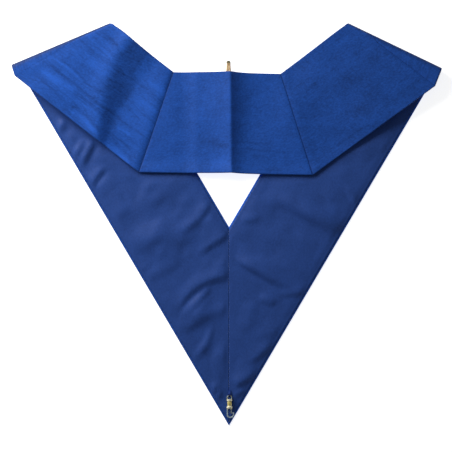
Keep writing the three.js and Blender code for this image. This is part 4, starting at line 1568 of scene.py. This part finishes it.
    def height_under(self, back: float, x: float) -> float:
        """Returns the neck panel's middle height at a distance in from its top edge."""
        points = self.neck.points
        row = int(np.abs(points[:, 0, 0] - x).argmin())
        column = int(round(back / self.sizes.ribbon_width * (self.columns - 1)))
        return float(points[row, column, 2])


@dataclass
class HangingLoop:
    """The narrow twisted cord loop at the top edge of the neck panel."""

    sizes: CollarSizes
    origin: Array
    band: Band
    cord_radius: float = 1.3 * MM
    top_share: float = 0.76
    reach: float = 12.7 * MM
    tuck: float = 8 * MM
    half_base: float = 1.3 * MM
    half_top: float = 0.8 * MM
    shift: float = -0.55 * MM
    lay: float = 4.2 * MM
    strands: int = 3
    strand_share: float = 0.5
    strand_offset: float = 0.52
    whipping: float = 2.3 * MM
    whipping_turns: int = 13
    whipping_radius: float = 0.2 * MM

    def _route(self) -> Array:
        """Returns the cord's middle line, in the row's frame."""
        gap = self.sizes.layer_gap
        under = self.sizes.ribbon_wall / 2 + gap + self.cord_radius * 2
        height = lambda back: self.band.height_under(back, self.shift) - under
        low, turn = self.cord_radius + gap, self.reach - self.cord_radius - self.half_top
        edge = height(0)
        strand = lambda sign: [
            (sign * self.half_base, -self.tuck, height(self.tuck)),
            (sign * self.half_base, -self.tuck / 2, height(self.tuck / 2)),
            (sign * self.half_base, 0, edge - gap),
            (sign * lerp(self.half_base, self.half_top, 0.5), turn / 2, lerp(edge, low, 0.6)),
            (sign * self.half_top, turn, low),
        ]
        bow = [
            (math.cos(angle) * self.half_top, turn + math.sin(angle) * self.half_top, low)
            for angle in np.radians((135, 90, 45))
        ]
        points = np.array([*strand(-1), *bow, *strand(1)[::-1]])
        points += np.array([self.shift, self.sizes.neck_top_reach, 0])
        return smooth_path(points, 22) + self.origin

    def build(self) -> Piece:
        """Makes the loop's twisted strands as one piece."""
        route = self._route()
        run = path_length(route)
        forward = unit(np.gradient(route, axis=0))
        right = unit(np.cross(forward, UP))
        up = np.cross(right, forward)
        parts = []
        out = smoothstep(route[:, 1] - self.origin[1] - self.sizes.neck_top_reach, 0, self.reach)
        radius = self.cord_radius * lerp(1.0, self.top_share, out)
        for strand in range(self.strands):
            angle = (TURN * (run / self.lay + strand / self.strands))[:, None]
            offset = (np.cos(angle) * right + np.sin(angle) * up) * radius[:, None]
            strand_route = route + offset * self.strand_offset
            parts.append(tube(strand_route, radius * self.strand_share, 10))
        loop = joined("neck_loop", parts)
        dress(loop, Thread("gilt_cord", CORD_BEIGE, CORD_SHADE, 0.5).material())
        self._whipping(route, run, radius)
        return place_piece(loop, "root", "gilt_cord", "hanging_loop")

    def _whipping(self, route: Array, run: Array, radius: Array) -> Piece:
        """Makes the dark thread wound round the top of the loop."""
        parts = []
        for place in np.linspace(-self.whipping, self.whipping, self.whipping_turns):
            at = int(np.abs(run - run[-1] / 2 - place).argmin())
            ahead = unit(route[at + 1] - route[at - 1])
            side = unit(np.cross(ahead, UP))
            turns = np.linspace(0, TURN, 21)[:, None]
            ring = np.cos(turns) * side + np.sin(turns) * np.cross(side, ahead)
            parts.append(tube(route[at] + ring * radius[at] * 1.02, self.whipping_radius, 6))
        wound = joined("loop_whipping", parts)
        thread = Thread("whipping_thread", WHIPPING_GREY, WHIPPING_SHADE, 0.2)
        dress(wound, thread.material())
        return place_piece(wound, "root", "gilt_cord")


@dataclass
class SwivelHook:
    """The gilt swivel hook: eye, turning body and sprung gate. Its own sizes are in mm."""

    sizes: CollarSizes
    origin: Array
    to_point: float = 8.1
    shift: float = 0.4
    eye_height: float = 3.6
    eye_half: float = 2.65
    eye_wire: float = 0.55
    eye_corner: float = 1.0
    eye_collar: float = 1.8
    eye_collar_radius: float = 2.65
    eye_rim: float = 0.35
    stem: float = 0.7
    head: float = 1.3
    head_length: float = 1.0
    swivel_gap: float = 0.2
    barrel: float = 4.5
    barrel_radius: float = 2.15
    waist_cut: float = 0.25
    roof: float = 1.2
    collar: float = 2.5
    collar_radius: float = 2.8
    jaw: float = 9.8
    jaw_wire: float = 0.65
    jaw_back: float = 1.85
    jaw_bulge: float = 4.15
    nose: float = 3.3
    nose_share: float = 0.55
    nose_taper: tuple[float, ...] = (0.97, 0.92, 0.82, 0.62)
    pivot_offset: float = 1.7
    pivot_drop: float = 1.05
    pin: float = 0.3
    pin_gap: float = 0.15
    knuckle: float = 0.8
    knuckle_height: float = 1.0
    ear_wall: float = 0.5
    ear_radius: float = 0.9
    gate_width: float = 1.0
    gate_lap: float = 0.9
    gate_gap: float = 0.2
    gate_root: float = 0.42
    gate_tip: tuple[tuple[float, float], ...] = (
        (-0.2, 0.5), (0, 0.5), (0.2, 0.43), (0.35, 0.3), (0.45, 0.12)
    )
    fine: float = 0.02
    sides: int = 56
    voxel: float = 0.11

    @property
    def axis_height(self) -> float:
        """Height of the swivel's axis above the floor, in metres."""
        return self.sizes.lining_top + self.sizes.layer_gap + self.collar_radius * MM

    @property
    def foot(self) -> float:
        """Where the lower collar ends and the jaw begins."""
        return self.to_point + self.jaw

    @property
    def barrel_top(self) -> float:
        """Where the barrel ends."""
        return self.foot + self.collar + self.barrel

    @property
    def eye_bar(self) -> float:
        """Where the middle of the eye's bar lies."""
        return self.barrel_top + self.swivel_gap + self.eye_collar + self.eye_height - self.eye_wire

    def _lathe(self, profile: list, centre: Array | None = None) -> Shape:
        """Turns a closed profile about the swivel's axis, or across the hook about a centre.

        Args:
            profile: pairs of a radius and a height.
            centre: the centre's place in plan, or none for the swivel's axis.

        Returns:
            The vertices and faces.
        """
        turns = TURN * np.arange(self.sides) / self.sides
        rings = []
        for radius, height in profile:
            level = np.full_like(turns, height)
            out, up = radius * np.cos(turns), radius * np.sin(turns)
            ring = [out, level, up] if centre is None else [centre[0] + out, centre[1] + up, level]
            rings.append(np.stack(ring, -1))
        return np.concatenate(rings), ring_faces(len(profile), self.sides, closed=True)

    def _disc(self, radius: float, height: float, centre: Array, z: float = 0.0) -> Shape:
        """Makes a short round pin that stands across the hook."""
        path = np.array([[*centre, z + share * height] for share in (-0.5, 0, 0.5)])
        return tube(path, radius, 40)

    def _block(self, low: tuple, high: tuple) -> Shape:
        """Makes a box between two corners."""
        corners = np.array(list(product(*zip(low, high))), float)
        faces = [[0, 1, 3, 2], [4, 6, 7, 5], [0, 4, 5, 1], [2, 3, 7, 6], [0, 2, 6, 4], [1, 5, 7, 3]]
        return corners, faces

    def _cast(
        self, name: str, parts: list[Shape], highlight_and_grey: tuple, gilt: GiltMetal, body: str, node: str
    ) -> Piece:
        """Fuses closed shapes into one smooth gilt casting and puts it in its place.

        Args:
            name: the piece's name.
            parts: closed shapes, in millimetres.
            highlight_and_grey: pairs of a height on the swivel's axis and the value there: 1 for
                the painted highlight, -1 for grey.
            gilt: its finish.
            body: the body that it moves with.
            node: the solid that it stands for.

        Returns:
            The fused piece, in metres.
        """
        raw = [mesh_object("raw", vertices, faces) for vertices, faces in parts]
        bpy.ops.object.select_all(action="DESELECT")
        for shape in raw:
            shape.select_set(True)
        source = bpy.context.view_layer.objects.active = raw[0]
        bpy.ops.object.join()
        fuse = source.modifiers.new("fuse", "REMESH")
        fuse.mode, fuse.voxel_size = "VOXEL", self.voxel
        soften = source.modifiers.new("soften", "SMOOTH")
        soften.factor, soften.iterations = 0.5, 3
        graph = bpy.context.evaluated_depsgraph_get()
        mesh = bpy.data.meshes.new_from_object(source.evaluated_get(graph))
        mesh.name = name
        points = np.empty(len(mesh.vertices) * 3)
        mesh.vertices.foreach_get("co", points)
        points = points.reshape(-1, 3)
        values = np.interp(points[:, 1], *zip(*highlight_and_grey)).astype(np.float32)
        mesh.attributes.new("highlight_and_grey", "FLOAT", "POINT").data.foreach_set("value", values)
        place = self.origin + np.array([self.shift * MM, 0, self.axis_height])
        mesh.vertices.foreach_set("co", (points * MM + place).ravel())
        mesh.polygons.foreach_set("use_smooth", np.ones(len(mesh.polygons), bool))
        bpy.data.objects.remove(source)
        made = link_object(name, mesh)
        dress(made, gilt.material())
        return place_piece(made, body, "gilt_metal", node)

    def build_eye(self) -> Piece:
        """Makes the stirrup eye with its collar and headed stem."""
        foot = self.barrel_top + self.swivel_gap
        top = foot + self.eye_collar
        side, bar, corner = self.eye_half - self.eye_wire, self.eye_bar, self.eye_corner
        arc = [
            (side - corner * (1 - math.cos(a)), bar - corner * (1 - math.sin(a)))
            for a in np.radians((0, 30, 60, 90))
        ]
        half = [(side, top - self.eye_wire), (side, lerp(top, bar, 0.35)), *arc]
        rise = lambda sign: [(sign * x, y, 0) for x, y in half]
        stirrup = tube(smooth_path(np.array([*rise(-1), *rise(1)[::-1]]), 8), self.eye_wire, 20)
        head_top = self.barrel_top - self.roof - self.swivel_gap
        rim, fine, radius = self.eye_rim, self.fine, self.eye_collar_radius
        core = self._lathe([
            (fine, head_top - self.head_length), (self.head, head_top - self.head_length),
            (self.head, head_top), (self.stem, head_top), (self.stem, foot), (radius - rim, foot),
            (radius - rim * 0.3, foot + rim * 0.3), (radius, foot + rim),
            (radius, lerp(foot, top, 0.42)), (radius - 0.22, lerp(foot, top, 0.5)),
            (radius, lerp(foot, top, 0.58)), (radius, top - rim),
            (radius - rim * 0.3, top - rim * 0.3), (radius - rim, top), (fine, top),
        ])
        # A painted highlight on the eye's collar, and grey on its stirrup.
        highlight_and_grey = ((foot, 1.0), (top, 1.0), (top + 0.4, -0.7))
        gilt = GiltMetal("gilt_eye", GILT, 0.34)
        return self._cast("swivel_eye", [core, stirrup], highlight_and_grey, gilt, "root", "hook_eye")

    def build_body(self) -> Piece:
        """Makes the barrel, lower collar and jaw, with the gate's ears and pin."""
        foot, waist, fine = self.foot, self.barrel_radius - self.waist_cut, self.fine
        shoulder = foot + self.collar
        pocket_top = self.barrel_top - self.roof
        pocket_foot = pocket_top - self.head_length - self.swivel_gap * 2
        bore, pocket = self.stem + self.swivel_gap, self.head + self.swivel_gap
        radius = self.collar_radius
        shell = self._lathe([
            (fine, foot), (radius - 0.5, foot), (radius - 0.15, foot + 0.15), (radius, foot + 0.5),
            (radius, foot + self.collar - 0.9), (radius - 0.2, foot + self.collar - 0.6),
            (waist, shoulder), (self.barrel_radius, lerp(shoulder, self.barrel_top, 0.3)),
            (self.barrel_radius + 0.05, lerp(shoulder, self.barrel_top, 0.55)),
            (self.barrel_radius, lerp(shoulder, self.barrel_top, 0.78)),
            (waist, self.barrel_top), (bore, self.barrel_top), (bore, pocket_top),
            (pocket, pocket_top), (pocket, pocket_foot), (fine, pocket_foot),
        ])
        bowl = self.to_point + self.jaw_wire
        back, bulge = -self.jaw_back, self.jaw_bulge
        route = [
            (back, foot + self.collar * 0.3), (back, foot - self.jaw * 0.3),
            (back, lerp(bowl, foot, 0.28)),
            (lerp(back, bulge, 0.12), lerp(bowl, foot, 0.07)), (lerp(back, bulge, 0.42), bowl),
            (lerp(back, bulge, 0.8), lerp(bowl, foot, 0.07)), (bulge, lerp(bowl, foot, 0.3)),
            (lerp(self.nose, bulge, 0.6), lerp(bowl, foot, self.nose_share - 0.09)),
            (self.nose, lerp(bowl, foot, self.nose_share)),
        ]
        path = smooth_path(np.array([(x, y, 0) for x, y in route]), 12)
        radii = np.full(len(path), self.jaw_wire)
        radii[-len(self.nose_taper) :] *= self.nose_taper
        jaw = tube(path, radii, 22)
        pivot = np.array([self.pivot_offset, foot - self.pivot_drop])
        inner = self.knuckle_height / 2 + self.pin_gap
        outer = inner + self.ear_wall
        parts = [shell, jaw, self._disc(self.pin, outer * 2, pivot)]
        for low_z, high_z in ((-outer, -inner), (inner, outer)):
            parts.append(self._disc(self.ear_radius, self.ear_wall, pivot, (low_z + high_z) / 2))
            low = (pivot[0] - self.ear_radius, pivot[1], low_z)
            high = (pivot[0] + self.ear_radius, foot + 0.4, high_z)
            parts.append(self._block(low, high))
        # Grey on the jaw and a painted highlight on the lower collar; the barrel keeps its own
        # colour.
        highlight_and_grey = (
            (foot - 1.2, -1.0), (foot - 0.2, 1.0), (shoulder - 0.2, 1.0), (shoulder + 0.5, 0.0)
        )
        gilt = GiltMetal("gilt_hook", GILT, 0.32)
        return self._cast("swivel_hook", parts, highlight_and_grey, gilt, "hook", "hook_body")

    def build_gate(self) -> Piece:
        """Makes the sprung gate, a rounded bar on its knuckle."""
        pivot = self.foot - self.pivot_drop
        bowl = self.to_point + self.jaw_wire
        tip_x = self.nose - self.jaw_wire - self.gate_gap - self.gate_width / 2
        tip_y = lerp(bowl, self.foot, self.nose_share) - self.gate_lap
        start, tip = np.array([self.pivot_offset, pivot]), np.array([tip_x, tip_y])
        inner, half = self.pin + self.pin_gap, self.knuckle_height / 2
        section = [(inner, -half), (self.knuckle, -half), (self.knuckle, half), (inner, half)]
        knuckle = self._lathe(section, start)
        run = unit(tip - start)
        ways = [lerp(start, tip, share) for share in (0.4, 0.75)]
        places = [start + run * (self.knuckle * 0.8), *ways, tip]
        path = smooth_path(np.array([(*place, 0) for place in places]), 8)
        bar = tube(path, np.linspace(self.gate_root, self.gate_width / 2, len(path)), 24)
        ends = np.array([(*(tip + run * ahead), 0) for ahead, _ in self.gate_tip])
        tip_cap = tube(ends, np.array([radius for _, radius in self.gate_tip]), 24)
        # The gate is grey, with a faint painted highlight at its knuckle.
        gilt, highlight_and_grey = GiltMetal("gilt_gate", GILT, 0.32), ((pivot - 1, -0.8), (pivot, 0.2))
        shapes = [knuckle, bar, tip_cap]
        return self._cast("swivel_gate", shapes, highlight_and_grey, gilt, "gate", "hook_gate")

    def build(self) -> list[Piece]:
        """Makes the hook's three pieces."""
        return [self.build_eye(), self.build_body(), self.build_gate()]


@dataclass
class HookTab:
    """The tab wound with thread round the eye's bar and sewn down. Its own sizes are in mm.

    Turn has the angles round the bar where a thread starts and ends, and its number of steps.
    """

    sizes: CollarSizes
    origin: Array
    hook: SwivelHook
    width: float = 2.0
    wall: float = 0.6
    gap: float = 0.25
    foot_length: float = 7.0
    foot_height: float = 1.2
    loop_length: float = 1.3
    windings: int = 11
    wobble: float = 0.06
    thread_share: float = 0.62
    turn: tuple[float, float, int] = (20, 285, 16)

    def build(self) -> list[Piece]:
        """Makes the threads wound round the bar, and their ends sewn down on the lining."""
        loop, foot = [], []
        split = self.origin[1] + (self.hook.eye_bar + self.loop_length) * MM
        size = min(self.wall / 2, self.width / self.windings * self.thread_share) * MM
        for step in range(self.windings):
            share = (step + 0.5) / self.windings
            path = self._winding(lerp(-self.width / 2, self.width / 2, share))
            far = path[:, 1] > split
            breaks = np.flatnonzero(np.diff(far.astype(int))) + 1
            for run in np.split(np.arange(len(path)), breaks):
                parts = foot if far[run[0]] else loop
                parts.append(tube(path[max(run[0] - 1, 0) : run[-1] + 1], size, 8))
        wound, sewn = joined("sewn_tab", loop), joined("tab_foot", foot)
        dress(wound, Thread("tab_thread", TAB_BLUE, TAB_SHADE, 0.1).material())
        dress(sewn, Thread("foot_thread", FOOT_BLUE, LINING_BLUE, 0.0).material())
        place_piece(wound, "root", "tab_cloth", "hook_tab")
        return [wound, place_piece(sewn, "root", "tab_cloth")]

    def _winding(self, x: float) -> Array:
        """Returns the path of one thread that loops round the bar and runs down to the lining."""
        middle = self.hook.eye_wire + self.gap + self.wall / 2
        lowest = self.hook.axis_height - self.sizes.lining_top - self.sizes.layer_gap
        drop = max(lowest / MM, self.hook.eye_wire + self.gap + self.wall)
        wobble = self.wobble * math.sin(7.1 * x + 1)
        turn = np.radians(np.linspace(*self.turn))
        route = [(self.foot_length - 0.5, self.foot_height * 0.75 - drop),
                 (self.foot_length * 0.6, self.foot_height - drop + 0.1)]
        route += [(middle * math.cos(a), middle * math.sin(a)) for a in turn]
        route += [(self.foot_length * 0.35, 0.45 - drop), (self.foot_length * 0.75, 0.4 - drop)]
        path = smooth_path(np.array([(x + wobble, y, z) for y, z in route]), 4)
        place = self.origin + np.array([self.hook.shift, self.hook.eye_bar, 0]) * MM
        return path * MM + place + np.array([0, 0, self.hook.axis_height])


@dataclass
class Studio:
    """The pale floor, the soft light and the camera straight above the collar.

    Attributes:
        origin: where the collar's point lies in the row's frame.
        picture: the picture's side, in pixels of a millimetre.
        picture_tip: where the collar's point lies in the picture.
        distance: the camera's height.
        mean_height: the height at which a pixel is a millimetre.
    """

    origin: Array
    picture: float = 452.0
    picture_tip: tuple[float, float] = (229.0, 426.0)
    distance: float = 1.8
    mean_height: float = 4 * MM
    floor_points: int = 41
    floor_half: float = 3.0
    floor_rise: float = 0.02
    floor_gap: float = 0.1 * MM
    surround: Colour = (0.93, 0.96, 1.0, 1)
    surround_strength: float = 0.16
    key_place: tuple[float, float, float] = (-0.58, 0.6, 0.42)
    key_aim: tuple[float, float, float] = (-0.02, 0.02, 0)
    key_tint: tuple[float, float, float] = (1.0, 0.99, 0.97)
    key_size: float = 0.6
    key_power: float = 10.2

    def floor(self) -> Piece:
        """Makes the floor as a fine plate with softly rising far edges."""
        count, half = self.floor_points, self.floor_half
        line = np.linspace(-half, half, count)
        x, y = np.meshgrid(line, line, indexing="ij")
        rise = self.floor_rise * smoothstep(np.hypot(x, y), 2.0, half * 1.4)
        points = np.stack([x, y, rise - self.floor_gap], -1).reshape(-1, 3)
        floor = mesh_object("floor", points, grid_faces(count, count).tolist())
        dress(floor, PaleFloor().material())
        floor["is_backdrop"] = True
        return floor

    def light(self) -> None:
        """Lights the collar from the upper left, with an even pale surround."""
        world = bpy.data.worlds.new("surround")
        world.use_nodes = True
        background = world.node_tree.nodes["Background"]
        background.inputs["Color"].default_value = self.surround
        background.inputs["Strength"].default_value = self.surround_strength
        bpy.context.scene.world = world
        data = bpy.data.lights.new("key", "AREA")
        data.size, data.energy, data.color = self.key_size, self.key_power, self.key_tint
        lamp = link_object("key", data)
        lamp.location = self.key_place
        facing = Vector(self.key_aim) - Vector(self.key_place)
        lamp.rotation_euler = facing.to_track_quat("-Z", "Y").to_euler()

    def camera(self) -> None:
        """Puts the camera straight above, so that a pixel is a millimetre."""
        data = bpy.data.cameras.new("camera")
        width = self.picture * MM
        data.lens = data.sensor_width * (self.distance - self.mean_height) / width
        camera = link_object("camera", data)
        x = self.origin[0] + (self.picture / 2 - self.picture_tip[0]) * MM
        y = self.origin[1] + (self.picture_tip[1] - self.picture / 2) * MM
        camera.location = (x, y, self.distance)
        bpy.context.scene.camera = camera

    def build(self) -> None:
        """Makes the floor, the light and the camera."""
        self.floor()
        self.light()
        self.camera()
        bpy.context.scene.view_settings.view_transform = "Standard"


def collar_point() -> Array:
    """Returns where the collar's point lies in the row's frame."""
    left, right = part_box("left_front_ribbon"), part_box("right_front_ribbon")
    return np.array([(left[1][0] + right[0][0]) / 2, right[0][1], 0.0])


def main() -> None:
    """Builds the collar and its surroundings."""
    logging.basicConfig(level=logging.INFO, format="%(message)s")
    cad_box = [list(corner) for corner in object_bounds()]
    sizes, origin = CollarSizes(), collar_point()
    satin = SatinLining("satin_lining", LINING_BLUE).material()
    Studio(origin).build()
    for side in Side:
        limb = FrontLimb(sizes, side, origin)
        limb.build_ribbon()
        limb.build_lining(satin)
    band = Band(sizes, origin)
    band.build(satin)
    HangingLoop(sizes, origin, band).build()
    hook = SwivelHook(sizes, origin)
    hook.build()
    HookTab(sizes, origin, hook).build()
    looks_box = [list(corner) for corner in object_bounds()]


if __name__ == "__main__":
    main()
